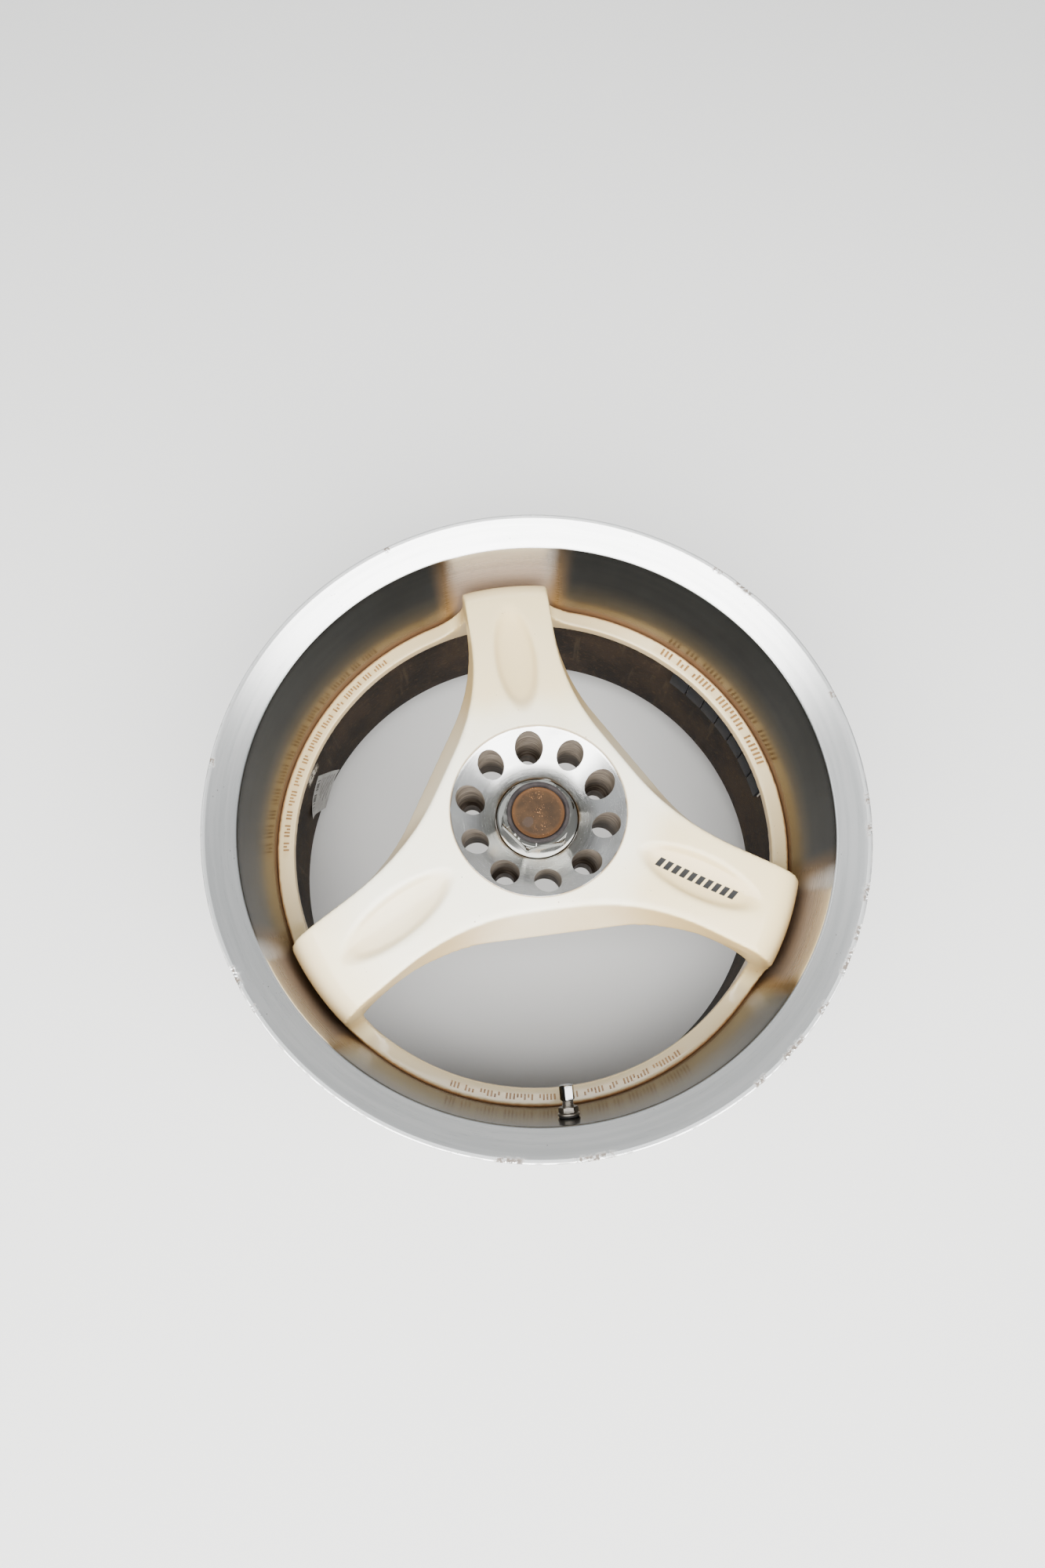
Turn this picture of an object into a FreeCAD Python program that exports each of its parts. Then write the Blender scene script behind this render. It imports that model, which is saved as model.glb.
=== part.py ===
import FreeCAD, Part
import Sketcher
import math
import os

# A two-piece forged racing wheel: a spun barrel and a three-spoke forged disc, 17 x 8.5 J, 5 x 100.
# Axis along +Z, the street side up. Z is zero on the hub mounting face, and one spoke lies on +Y.

doc = FreeCAD.newDocument("wheel")
sheet = doc.addObject("Spreadsheet::Sheet", "Sizes")

SIZES = {
    # rim barrel
    "flange_radius": 235.6, "front_z": 72.5, "rear_z": -168.5, "bead_radius": 218.3,
    "flange_edge": 1.2, "flange_lip": 4.0, "flange_curl": 11.0, "flange_width": 11.5,
    "bead_heel": 3.0, "bead_seat_width": 18.0, "bead_seat_drop": 1.6, "hump_rise": 0.9,
    "hump_width": 2.0, "lip_foot_radius": 213.5, "lip_foot_z": 60.1, "lip_foot_round": 4.5,
    "seat_radius": 203.6, "register_z": -17.5, "shoulder_z": -29.0, "barrel_wall": 4.0,
    "well_radius": 198.2, "well_rear_z": -129.0, "weld_leg": 5.5,
    # forged disc
    "ring_outer_radius": 203.55, "ring_inner_radius": 190.0, "ring_top_z": -19.9,
    "ring_back_z": -4.0, "ring_draft": 1.5, "spoke_back_roll": 42.0, "crown_bow": 900.0,
    "end_roll": 31.0, "pad_chamfer": 1.0, "bore_chamfer": 1.5,
    "end_radius": 201.0, "end_z": 15.5, "roll_radius": 178.0, "roll_z": 45.5,
    "crown_radius": 75.0, "crown_z": 62.2, "cone_outer_radius": 63.2, "cone_outer_z": 63.0,
    "cone_inner_z": 38.0, "bore_front_radius": 31.0, "paint_step": 0.5,
    "spoke_back_z": 36.5, "pad_radius": 72.0, "hub_bore_radius": 32.5, "hub_bore_depth": 22.0,
    "nose_back": 86.5, "nose_front": 70.0, "side_back": 34.0, "side_front": 30.4,
    "side_sweep_radius": 155.0, "window_corner": 7.0, "foot_radius": 28.0, "foot_reach": 50.0,
    "cutter_radius": 212.0, "clearing_angle": 82.0,
    # wheel bolts and lightening holes
    "bolt_circle_radius": 50.0, "bolt_pocket_radius": 10.5, "bolt_hole_radius": 7.5,
    "seat_top_z": 19.5, "seat_depth": 5.2, "light_hole_radius": 9.8,
    "light_floor_z": 27.0, "light_pocket_radius": 12.0,
    # dimples on the spokes
    "dimple_middle": 124.0, "dimple_half_length": 47.0, "dimple_half_width": 17.5, "dimple_depth": 4.2,
    # centre cap
    "cap_radius": 30.7, "cap_hex": 48.0, "cap_corner_radius": 27.0, "cap_hex_top": 52.5,
    "cap_skirt_z": 22.0, "cup_radius": 22.8, "cup_top": 55.9, "badge_radius": 19.2, "badge_top": 53.8,
    # valve
    "valve_z": 29.5, "valve_tilt": 7.2, "valve_turn": -1.9, "valve_hole_radius": 4.15, "spot_face_radius": 9.0,
    "stem_head": 8.0, "stem_head_top": -6.2, "spring_radius": 1.12, "spring_wire": 0.15,
    "spring_pitch": 0.55, "spring_length": 2.2, "spring_foot": 9.6,
    "washer_top": 2.9, "valve_nut_top": 7.0, "valve_nut_hex": 12.0, "stem_top": 19.4,
    "stem_radius": 3.9, "neck_radius": 3.35, "thread_radius": 3.8, "core_bore_radius": 2.2,
    "cap_base": 11.4, "cap_length": 10.0, "valve_cap_hex": 9.0, "cap_thread_gap": 0.06,
    # balance weights and label on the barrel wall
    "weight_start": 6.0, "weight_pitch": 5.41, "weight_angle": 5.15, "weight_top_z": -38.5,
    "weight_width": 18.0, "weight_height": 3.5, "tape_height": 0.9, "wall_gap": 0.05,
    "label_angle": 153.9, "label_z": -107.0, "label_tilt": -28.0, "label_length": 49.0,
    "label_width": 39.0, "label_height": 0.4,
}
for row, (name, number) in enumerate(SIZES.items(), start=1):
    sheet.set(f"A{row}", name)
    sheet.set(f"B{row}", str(number))
    sheet.setAlias(f"B{row}", name)
doc.recompute()


class Dim:
    """A length with its number and the sheet expression it comes from."""

    def __init__(self, value, text):
        self.value = value
        self.text = text

    def joined(self, other, sign, value):
        return Dim(value, f"({self.text} {sign} {as_dim(other).text})")

    def __add__(self, other):
        return self.joined(other, "+", self.value + as_dim(other).value)

    def __sub__(self, other):
        return self.joined(other, "-", self.value - as_dim(other).value)

    def __mul__(self, other):
        return self.joined(other, "*", self.value * as_dim(other).value)

    def __truediv__(self, other):
        return self.joined(other, "/", self.value / as_dim(other).value)

    def __neg__(self):
        return Dim(-self.value, f"(0 - {self.text})")

    def root(self):
        return Dim(math.sqrt(self.value), f"sqrt({self.text})")


def as_dim(number):
    return number if isinstance(number, Dim) else Dim(float(number), repr(float(number)))


def size(name):
    return Dim(SIZES[name], f"Sizes.{name}")


def set_size(thing, prop, dim):
    setattr(thing, prop, as_dim(dim).value)
    thing.setExpression(prop, as_dim(dim).text)


def new_body(label):
    body = doc.addObject("PartDesign::Body", label)
    body.Label = label
    return body


def origin_item(body, role):
    return [item for item in body.Origin.OriginFeatures if item.Role == role][0]


def arc_between(start, end, radius):
    """Arc from start to end. A positive radius bulges to the right of the way travelled."""
    across = end - start
    middle = (start + end) * 0.5
    side = FreeCAD.Vector(-across.y, across.x, 0).normalize()
    reach = math.sqrt(max(radius * radius - across.Length ** 2 / 4, 0))
    centre = middle + side * math.copysign(reach, radius)
    first = math.atan2(start.y - centre.y, start.x - centre.x)
    last = math.atan2(end.y - centre.y, end.x - centre.x)
    circle = Part.Circle(centre, FreeCAD.Vector(0, 0, 1), abs(radius))
    if radius > 0:
        return Part.ArcOfCircle(circle, first, last), 1, 2
    return Part.ArcOfCircle(circle, last, first), 2, 1


def draw(sketch, outline):
    """A closed outline. Each entry is (x, y) for a line to that point or (x, y, radius) for an arc."""
    places = [FreeCAD.Vector(as_dim(p[0]).value, as_dim(p[1]).value, 0) for p in outline]
    ends = []
    for index, point in enumerate(outline):
        start = places[index - 1]
        end = places[index]
        if len(point) == 3:
            curve, tail, head = arc_between(start, end, as_dim(point[2]).value)
            number = sketch.addGeometry(curve, False)
            ends.append((number, tail, head))
            bound(sketch, Sketcher.Constraint("Radius", number, abs(as_dim(point[2]).value)),
                  as_dim(point[2]) if as_dim(point[2]).value > 0 else -as_dim(point[2]))
        else:
            number = sketch.addGeometry(Part.LineSegment(start, end), False)
            ends.append((number, 1, 2))
    for index, point in enumerate(outline):
        number, tail, head = ends[index]
        after, next_tail, next_head = ends[(index + 1) % len(ends)]
        sketch.addConstraint(Sketcher.Constraint("Coincident", number, head, after, next_tail))
        for kind, dim in (("DistanceX", as_dim(point[0])), ("DistanceY", as_dim(point[1]))):
            bound(sketch, Sketcher.Constraint(kind, -1, 1, number, head, dim.value), dim)


def bound(sketch, constraint, dim):
    number = sketch.addConstraint(constraint)
    if "Sizes." in dim.text:
        sketch.setExpression(f"Constraints[{number}]", dim.text)


def new_sketch(body, name, role, offset=0, turn=0):
    sketch = body.newObject("Sketcher::SketchObject", name)
    sketch.AttachmentSupport = [(origin_item(body, role), "")]
    sketch.MapMode = "FlatFace"
    lift = as_dim(offset)
    sketch.AttachmentOffset = FreeCAD.Placement(FreeCAD.Vector(0, 0, lift.value),
                                                FreeCAD.Rotation(FreeCAD.Vector(0, 0, 1), turn))
    if "Sizes." in lift.text:
        sketch.setExpression(".AttachmentOffset.Base.z", lift.text)
    return sketch


def revolved(body, name, outline, feature="PartDesign::Revolution", angle=360):
    """Turn an outline of (radius, height) points about the body's Z axis."""
    sketch = new_sketch(body, name + "_section", "XZ_Plane")
    draw(sketch, outline)
    turned = body.newObject(feature, name)
    turned.Profile = sketch
    turned.ReferenceAxis = (origin_item(body, "Z_Axis"), [""])
    turned.Angle = angle
    doc.recompute()
    return turned


def patterned(body, name, originals, count):
    pattern = body.newObject("PartDesign::PolarPattern", name)
    pattern.Originals = originals
    pattern.Axis = (origin_item(body, "Z_Axis"), [""])
    pattern.Angle = 360
    pattern.Occurrences = count
    body.Tip = pattern
    doc.recompute()
    return pattern


HALF_ROOT3 = math.sqrt(3) / 2


def window_outline(nose, side, outer, corner):
    """Window between two spokes, pointing along -Y: flat nose, swept sides, round ring edge."""
    sweep = size("side_sweep_radius")
    drop = nose + sweep * (1 - HALF_ROOT3)
    flat = drop * (2 * HALF_ROOT3) - side * 2 - sweep / 2
    bend = flat + sweep / 2
    inner = outer - corner
    offset = side + corner
    along = (inner * inner - offset * offset).root()
    side_x = along * HALF_ROOT3 - side / 2
    side_y = -(along / 2) - side * HALF_ROOT3
    swell = outer / inner
    ring_x = (along * HALF_ROOT3 - offset / 2) * swell
    ring_y = (-(along / 2) - offset * HALF_ROOT3) * swell
    return [(-flat, -nose), (-bend, -drop, sweep), (-side_x, side_y), (-ring_x, ring_y, corner),
            (ring_x, ring_y, outer), (side_x, side_y, corner), (bend, -drop), (flat, -nose, sweep)]


def forged_disc():
    """Hub, three spokes and the outer ring in one forging, machined on the hub face."""
    body = new_body("forged_disc")
    ring_outer = size("ring_outer_radius")
    ring_inner = size("ring_inner_radius")
    ring_top = size("ring_top_z")
    back = size("spoke_back_z")
    bore = size("bore_front_radius")
    pad = size("pad_radius")
    hub_bore = size("hub_bore_radius")
    back_roll = size("spoke_back_roll")
    pad_chamfer = size("pad_chamfer")
    bore_chamfer = size("bore_chamfer")
    clear_z = size("cone_outer_z") + 3
    revolved(body, "dish", [
        (bore, size("cone_inner_z")),
        (size("cone_outer_radius"), size("cone_outer_z")),
        (size("cone_outer_radius") + size("paint_step"), size("cone_outer_z") + size("paint_step")),
        (size("crown_radius"), size("crown_z")),
        (size("roll_radius"), size("roll_z"), -size("crown_bow")),
        (size("end_radius"), size("end_z"), -size("end_roll")),
        (ring_outer, ring_top),
        (ring_outer, size("shoulder_z")),
        (ring_inner, size("shoulder_z")),
        (ring_inner - size("ring_draft"), size("ring_back_z")),
        (ring_inner - 30, back - 8, back_roll),
        (ring_inner - 48, back - 2.5),
        (pad + 9, back),
        (pad, back - 9, 9),
        (pad, pad_chamfer),
        (pad - pad_chamfer, 0),
        (hub_bore + bore_chamfer, 0),
        (hub_bore, bore_chamfer),
        (hub_bore, size("hub_bore_depth")),
        (bore, size("hub_bore_depth")),
    ])
    windows = cut_windows(body, back, ring_inner, clear_z)
    clearing = clear_ring(body, ring_top, clear_z)
    feet = cut_spoke_feet(body, ring_top, clear_z)
    patterned(body, "three_windows", windows + [clearing, feet], 3)
    dimple = cut_dimple(body)
    patterned(body, "three_dimples", [dimple], 3)
    bolt = drilled(body, "bolt_hole", 1, [
        (0, clear_z),
        (0, -1),
        (size("bolt_hole_radius"), -1),
        (size("bolt_hole_radius"), size("seat_top_z") - size("seat_depth")),
        (size("bolt_pocket_radius"), size("seat_top_z")),
        (size("bolt_pocket_radius"), clear_z),
    ])
    light = drilled(body, "light_hole", -1, [
        (0, clear_z),
        (0, -1),
        (size("light_pocket_radius"), -1),
        (size("light_pocket_radius"), size("light_floor_z") - 2),
        (size("light_pocket_radius") - 2, size("light_floor_z"), -2),
        (size("light_hole_radius"), size("light_floor_z")),
        (size("light_hole_radius"), clear_z),
    ])
    patterned(body, "ten_holes", [bolt, light], 5)
    return body


def cut_windows(body, back, ring_inner, clear_z):
    high = new_sketch(body, "window_front", "XY_Plane", clear_z)
    draw(high, window_outline(size("nose_front"), size("side_front"), size("cutter_radius"), as_dim(9)))
    low = new_sketch(body, "window_back", "XY_Plane", back)
    draw(low, window_outline(size("nose_back"), size("side_back"), size("cutter_radius"), as_dim(9)))
    drafted = body.newObject("PartDesign::SubtractiveLoft", "window_draft")
    drafted.Profile = high
    drafted.Sections = [low]
    drafted.Ruled = True
    doc.recompute()
    through = new_sketch(body, "window_ring", "XY_Plane", back + 1)
    draw(through, window_outline(size("nose_back"), size("side_back"), ring_inner, size("window_corner")))
    well = body.newObject("PartDesign::Pocket", "window_well")
    well.Profile = through
    set_size(well, "Length", back + 6 - size("shoulder_z"))
    doc.recompute()
    return [drafted, well]


def clear_ring(body, ring_top, clear_z):
    """Cut the rim of the dish down to the flat ring between two spokes."""
    sketch = new_sketch(body, "ring_clearing_section", "YZ_Plane")
    inner = size("ring_inner_radius") - size("ring_draft")
    outer = size("ring_outer_radius") + 3
    draw(sketch, [(-inner, ring_top), (-inner, clear_z), (-outer, clear_z), (-outer, ring_top)])
    groove = body.newObject("PartDesign::Groove", "ring_clearing")
    groove.Profile = sketch
    groove.ReferenceAxis = (origin_item(body, "Z_Axis"), [""])
    set_size(groove, "Angle", size("clearing_angle"))
    groove.Midplane = True
    doc.recompute()
    return groove


def cut_spoke_feet(body, ring_top, clear_z):
    """Round the ring up into both sides of the spoke on +Y."""
    sketch = new_sketch(body, "spoke_foot_section", "XZ_Plane", -(size("ring_inner_radius") - 25))
    side = size("side_back")
    foot = size("foot_radius")
    draw(sketch, [(side, clear_z), (side, ring_top + foot), (side + foot, ring_top, foot),
                  (side + foot + 10, ring_top), (side + foot + 10, clear_z)])
    draw(sketch, [(-side, clear_z), (-(side + foot + 10), clear_z), (-(side + foot + 10), ring_top),
                  (-(side + foot), ring_top), (-side, ring_top + foot, foot)])
    pocket = body.newObject("PartDesign::Pocket", "spoke_feet")
    pocket.Profile = sketch
    set_size(pocket, "Length", size("foot_reach"))
    doc.recompute()
    return pocket


def cut_dimple(body):
    """Shallow oval hollow in the face of the spoke on +Y."""
    middle = size("dimple_middle")
    slope = math.degrees(math.atan2(SIZES["crown_z"] - SIZES["roll_z"],
                                    SIZES["roll_radius"] - SIZES["crown_radius"]))
    face_z = (size("crown_z") - (size("crown_z") - size("roll_z")) * (middle - size("crown_radius"))
              / (size("roll_radius") - size("crown_radius")) + 1.5)
    depth = size("dimple_depth")
    dimple = body.newObject("PartDesign::SubtractiveEllipsoid", "dimple")
    dimple.AttachmentSupport = [(origin_item(body, "XY_Plane"), "")]
    dimple.MapMode = "FlatFace"
    lift = depth * 2
    on_side = FreeCAD.Rotation(FreeCAD.Vector(0, 1, 0), -90)
    dimple.AttachmentOffset = FreeCAD.Placement(
        FreeCAD.Vector(0, middle.value, (face_z + lift).value),
        FreeCAD.Rotation(FreeCAD.Vector(1, 0, 0), -slope).multiply(on_side))
    dimple.setExpression(".AttachmentOffset.Base.y", middle.text)
    dimple.setExpression(".AttachmentOffset.Base.z", (face_z + lift).text)
    swell = 1 / math.sqrt(1 - (2 / 3) ** 2)
    set_size(dimple, "Radius1", size("dimple_half_width") * swell)
    set_size(dimple, "Radius2", depth * 3)
    set_size(dimple, "Radius3", size("dimple_half_length") * swell)
    doc.recompute()
    return dimple


def drilled(body, name, side, outline):
    """A stepped round hole on the bolt circle, on the +Y side (1) or the -Y side (-1)."""
    sketch = new_sketch(body, name + "_section", "YZ_Plane")
    place = size("bolt_circle_radius") * side
    sketch.AttachmentOffset = FreeCAD.Placement(FreeCAD.Vector(place.value, 0, 0), FreeCAD.Rotation())
    sketch.setExpression(".AttachmentOffset.Base.x", place.text)
    draw(sketch, outline)
    hole = body.newObject("PartDesign::Groove", name)
    hole.Profile = sketch
    hole.ReferenceAxis = (sketch, ["V_Axis"])
    hole.Angle = 360
    doc.recompute()
    return hole


def flange_outline(face, inward):
    """Tyre side of one flange: edge, curl, bead seat and hump, from the flange's face inwards."""
    flange = size("flange_radius")
    bead = size("bead_radius")
    edge = size("flange_edge")
    heel = size("bead_heel")
    lip_end = face + size("flange_lip") * inward
    curl_end = face + size("flange_width") * inward
    heel_end = curl_end + (heel + 1) * inward
    seat_end = heel_end + size("bead_seat_width") * inward
    hump = seat_end + 2.5 * inward
    low = bead - size("bead_seat_drop")
    return [
        (flange - edge, face),
        (flange, face + edge * inward, -edge),
        (flange, lip_end),
        (flange - 1.6, lip_end + 1.9 * inward, -2.2),
        (flange - 9.6, curl_end, size("flange_curl")),
        (bead + heel, curl_end + inward),
        (bead, heel_end, heel),
        (low, seat_end),
        (low + size("hump_rise"), hump),
        (low + size("hump_rise"), hump + size("hump_width") * inward),
    ]


def retraced(outline):
    """The same line drawn from its far end. Each arc stays between its own two points."""
    corners = [point[:2] for point in outline]
    arcs = [point[2:] for point in outline]
    return [corner + arc for corner, arc in zip(corners[::-1], [()] + arcs[:0:-1])]


def rim_barrel():
    """Spun and machined outer rim: street-side lip, drop well and inboard flange."""
    body = new_body("rim_barrel")
    flange = size("flange_radius")
    front = size("front_z")
    rear = size("rear_z")
    bead = size("bead_radius")
    wall = size("barrel_wall")
    foot = size("lip_foot_radius")
    lip_foot = size("lip_foot_z")
    seat = size("seat_radius")
    well = size("well_radius")
    shoulder = size("shoulder_z")
    register = size("register_z")
    well_rear = size("well_rear_z")
    middle_shoulder = [
        (seat + wall + 1.3, register + 8),
        (seat + wall, register - 3),
        (seat + wall, shoulder - 3),
        (well + wall, shoulder - 11),
        (well + wall, well_rear + 6),
        (bead - 2.2, well_rear - 4),
    ]
    inner_side = [
        (flange - 3, rear + 0.5),
        (bead - 4.4, rear + 12),
        (bead - 5.4, rear + 14.5, -4),
        (bead - 7.2, well_rear - 11),
        (well, well_rear),
        (well, shoulder),
        (seat, shoulder),
        (seat, register),
        (wall_radius(lip_foot - 3), lip_foot - 3),
        (foot + 1.6, lip_foot + 0.6, -size("lip_foot_round")),
        (flange - 3, front - 0.5),
    ]
    neck = (bead - 3.2, front - 42, -5)
    revolved(body, "barrel", flange_outline(front, -1) + [neck] + middle_shoulder
             + retraced(flange_outline(rear, 1)) + inner_side)
    hole = body.newObject("PartDesign::SubtractiveCylinder", "valve_hole")
    place_on_wall(body, hole, -12)
    set_size(hole, "Radius", size("valve_hole_radius"))
    hole.Height = 20
    doc.recompute()
    spot = body.newObject("PartDesign::SubtractiveCylinder", "valve_spot_face")
    place_on_wall(body, spot, -16.3)
    set_size(spot, "Radius", size("spot_face_radius"))
    spot.Height = 12
    doc.recompute()
    return body


def wall_radius(height):
    """Radius of the street-side wall of the barrel at a height."""
    run = (height - size("register_z")) / (size("lip_foot_z") - size("register_z"))
    return size("seat_radius") + (size("lip_foot_radius") - size("seat_radius")) * run


def valve_placement(shift=0):
    """The valve's own frame: its Z runs square off the wall, inwards and a little forwards.

    The barrel is welded on with the valve a little round from the point opposite a spoke.
    """
    tipped = FreeCAD.Rotation(FreeCAD.Vector(1, 0, 0), SIZES["valve_tilt"] - 90)
    round_axis = FreeCAD.Rotation(FreeCAD.Vector(0, 0, 1), SIZES["valve_turn"])
    turn = round_axis.multiply(tipped)
    foot = round_axis.multVec(FreeCAD.Vector(0, -wall_radius(size("valve_z")).value, SIZES["valve_z"]))
    return FreeCAD.Placement(foot + turn.multVec(FreeCAD.Vector(0, 0, shift)), turn)


def place_on_wall(body, feature, shift):
    feature.AttachmentSupport = [(origin_item(body, "XY_Plane"), "")]
    feature.MapMode = "FlatFace"
    feature.AttachmentOffset = valve_placement(shift)


def weld_bead():
    """Weld run at the back of the joint between the ring and the barrel."""
    body = new_body("weld_bead")
    wall = size("well_radius")
    shoulder = size("shoulder_z")
    leg = size("weld_leg")
    revolved(body, "bead", [(wall, shoulder), (wall, shoulder - leg), (wall - leg, shoulder, -leg)])
    return body


def hexagonal(body, across_flats, low, high, turn):
    """Mill six flats on a turned blank."""
    sketch = new_sketch(body, "flat", "XY_Plane", high + 1, turn)
    half = across_flats / 2
    reach = half + 8
    draw(sketch, [(half, -reach), (reach, -reach), (reach, reach), (half, reach)])
    flat = body.newObject("PartDesign::Pocket", "one_flat")
    flat.Profile = sketch
    set_size(flat, "Length", high + 1 - low)
    doc.recompute()
    patterned(body, "six_flats", [flat], 6)


def centre_cap_nut():
    """Chromed plug in the form of a large hexagon nut, with a skirt that enters the bore."""
    body = new_body("centre_cap_nut")
    bore = size("cap_radius")
    corner = size("cap_corner_radius")
    top = size("cap_hex_top")
    seat = size("cone_inner_z")
    revolved(body, "blank", [
        (17, top), (corner - 1.6, top), (corner, top - 1.4), (corner, seat + 0.6), (bore - 1.2, seat),
        (bore, seat - 1), (bore, seat - 2), (29, seat - 2), (29, seat - 8), (28.2, seat - 8.8),
        (28.2, seat - 10.4), (29, seat - 11.2), (29, size("cap_skirt_z") + 1.5),
        (28, size("cap_skirt_z")), (25, size("cap_skirt_z")), (25, seat - 2), (17, seat + 4),
    ])
    hexagonal(body, size("cap_hex"), seat + 0.6, top, 36.2)
    return body


def centre_cap_cup():
    """Dark cup that holds the badge on top of the nut."""
    body = new_body("centre_cap_cup")
    top = size("cup_top")
    rim = size("cup_radius")
    hex_top = size("cap_hex_top")
    badge = size("badge_radius")
    revolved(body, "cup", [
        (0, hex_top + 0.4), (badge + 0.3, hex_top + 0.4), (badge + 0.9, top - 0.3), (badge + 1.3, top),
        (rim - 0.6, top), (rim, top - 0.6, -0.6), (rim, hex_top), (16.9, hex_top),
        (16.9, hex_top - 6), (0, hex_top - 6),
    ])
    return body


def centre_cap_badge():
    """Plain metal disc in the cup."""
    body = new_body("centre_cap_badge")
    badge = size("badge_radius")
    top = size("badge_top")
    floor = size("cap_hex_top") + 0.4
    revolved(body, "disc", [(0, top + 0.15), (0, floor), (badge, floor), (badge, top - 0.4),
                            (badge - 0.4, top, 0.4)])
    return body


def round_ring(label, radius, thickness, height):
    """A ring of round section, such as an O-ring or a spring ring."""
    ring = doc.addObject("Part::Torus", label)
    ring.Label = label
    set_size(ring, "Radius1", radius)
    set_size(ring, "Radius2", as_dim(thickness))
    ring.Placement = FreeCAD.Placement(FreeCAD.Vector(0, 0, height.value), FreeCAD.Rotation())
    ring.setExpression(".Placement.Base.z", height.text)
    return ring


def on_valve(body):
    body.Placement = valve_placement()
    return body


def valve_stem():
    body = new_body("valve_stem")
    stem = size("stem_radius")
    neck = size("neck_radius")
    thread = size("thread_radius")
    core = size("core_bore_radius")
    nut_top = size("valve_nut_top")
    top = size("stem_top")
    head = size("stem_head")
    under = size("stem_head_top")
    revolved(body, "stem", [
        (core, top), (thread - 0.5, top), (thread, top - 0.7), (thread, size("cap_base") + 0.8),
        (neck, size("cap_base")), (neck, nut_top + 1.2), (stem, nut_top + 0.6), (stem, under),
        (head, under), (head, under - 1.8), (head - 1, under - 2.6), (1.5, under - 2.6), (1.5, 5),
        (core, 6),
    ])
    return on_valve(body)


def flat_ring(label, inner, outer, low, high, bevel):
    """A washer-like ring on the valve, with its upper outer edge bevelled."""
    body = new_body(label)
    inner, outer, low, high = as_dim(inner), as_dim(outer), as_dim(low), as_dim(high)
    revolved(body, "ring", [(inner, low), (outer, low), (outer, high - bevel), (outer - bevel, high),
                            (inner, high)])
    return on_valve(body)


def valve_nut():
    body = new_body("valve_nut")
    low = size("washer_top")
    top = size("valve_nut_top")
    corner = size("valve_nut_hex") / (2 * HALF_ROOT3)
    revolved(body, "blank", [(size("stem_radius") + 0.02, low), (corner, low), (corner, top - 0.6),
                             (corner - 1, top), (size("stem_radius") + 0.02, top)])
    hexagonal(body, size("valve_nut_hex"), low - 1, top, 27)
    return on_valve(body)


def valve_core_body():
    body = new_body("valve_core_body")
    core = size("core_bore_radius")
    top = size("stem_top")
    revolved(body, "tube", [
        (1.0, top - 0.6), (1.6, top - 0.6), (core - 0.02, top - 1.2), (core - 0.02, top - 5),
        (1.9, top - 5.4), (1.9, 8), (1.0, 8), (1.0, 9), (1.5, 9.4), (1.5, top - 5), (1.0, top - 4.6),
    ])
    return on_valve(body)


def valve_core_pin():
    """The pin that opens the core when it is pressed, with the plunger at its foot."""
    body = new_body("valve_core_pin")
    top = size("stem_top")
    revolved(body, "pin", [
        (0, top - 0.2), (0.65, top - 0.2), (0.75, top - 0.4), (0.75, top - 6.8), (1.3, top - 6.8),
        (1.3, top - 7.3), (0.75, top - 7.3), (0.75, 6.9), (1.35, 6.9), (1.35, 6.0), (0, 6.0),
    ])
    return on_valve(body)


def valve_core_spring():
    """Coil around the pin, between its collar and the foot of the core."""
    turns = doc.addObject("Part::Helix", "core_coil_line")
    set_size(turns, "Pitch", size("spring_pitch"))
    set_size(turns, "Height", size("spring_length"))
    set_size(turns, "Radius", size("spring_radius"))
    wire = doc.addObject("Part::RegularPolygon", "core_coil_wire")
    wire.Polygon = 8
    set_size(wire, "Circumradius", size("spring_wire"))
    wire.Placement = FreeCAD.Placement(FreeCAD.Vector(SIZES["spring_radius"], 0, 0),
                                       FreeCAD.Rotation(FreeCAD.Vector(1, 0, 0), 90))
    coil = doc.addObject("Part::Sweep", "valve_core_spring")
    coil.Label = "valve_core_spring"
    coil.Sections = [wire]
    coil.Spine = (turns, ["Edge1"])
    coil.Solid = True
    coil.Frenet = True
    coil.Placement = valve_placement(SIZES["spring_foot"])
    doc.recompute()
    return coil


def valve_cap():
    """Bright hexagonal dust cap, threaded over the end of the stem."""
    body = new_body("valve_cap")
    low = size("cap_base")
    top = low + size("cap_length")
    corner = size("valve_cap_hex") / (2 * HALF_ROOT3)
    inside = size("thread_radius") + size("cap_thread_gap")
    revolved(body, "blank", [
        (0, top), (corner - 1.1, top), (corner, top - 0.7), (corner, low + 0.5), (corner - 0.6, low),
        (inside, low), (inside, top - 1.2), (0, top - 1.2),
    ])
    hexagonal(body, size("valve_cap_hex"), low - 1, top, 43)
    return on_valve(body)


def wall_sector(label, inner, outer, low, height, start, angle):
    """A curved block on the barrel wall between two radii."""
    parts = []
    for name, radius in (("outer", outer), ("inner", inner)):
        drum = doc.addObject("Part::Cylinder", f"{label}_{name}")
        set_size(drum, "Radius", radius)
        set_size(drum, "Height", height)
        set_size(drum, "Angle", angle)
        drum.Placement = FreeCAD.Placement(FreeCAD.Vector(0, 0, low.value),
                                           FreeCAD.Rotation(FreeCAD.Vector(0, 0, 1), start))
        drum.setExpression(".Placement.Base.z", low.text)
        parts.append(drum)
    block = doc.addObject("Part::Cut", label)
    block.Base = parts[0]
    block.Tool = parts[1]
    return block


def balance_weights():
    """Seven identical stick-on weights in one row."""
    outer = size("well_radius") - size("wall_gap") - size("tape_height")
    inner = outer - size("weight_height")
    low = size("weight_top_z") - size("weight_width")
    blocks = []
    for index in range(7):
        start = SIZES["weight_start"] + index * SIZES["weight_pitch"]
        blocks.append(wall_sector(f"weight_{index + 1}", inner, outer, low, size("weight_width"),
                                  start, size("weight_angle")))
    row = doc.addObject("Part::Compound", "balance_weights")
    row.Label = "balance_weights"
    row.Links = blocks
    return row


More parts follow.
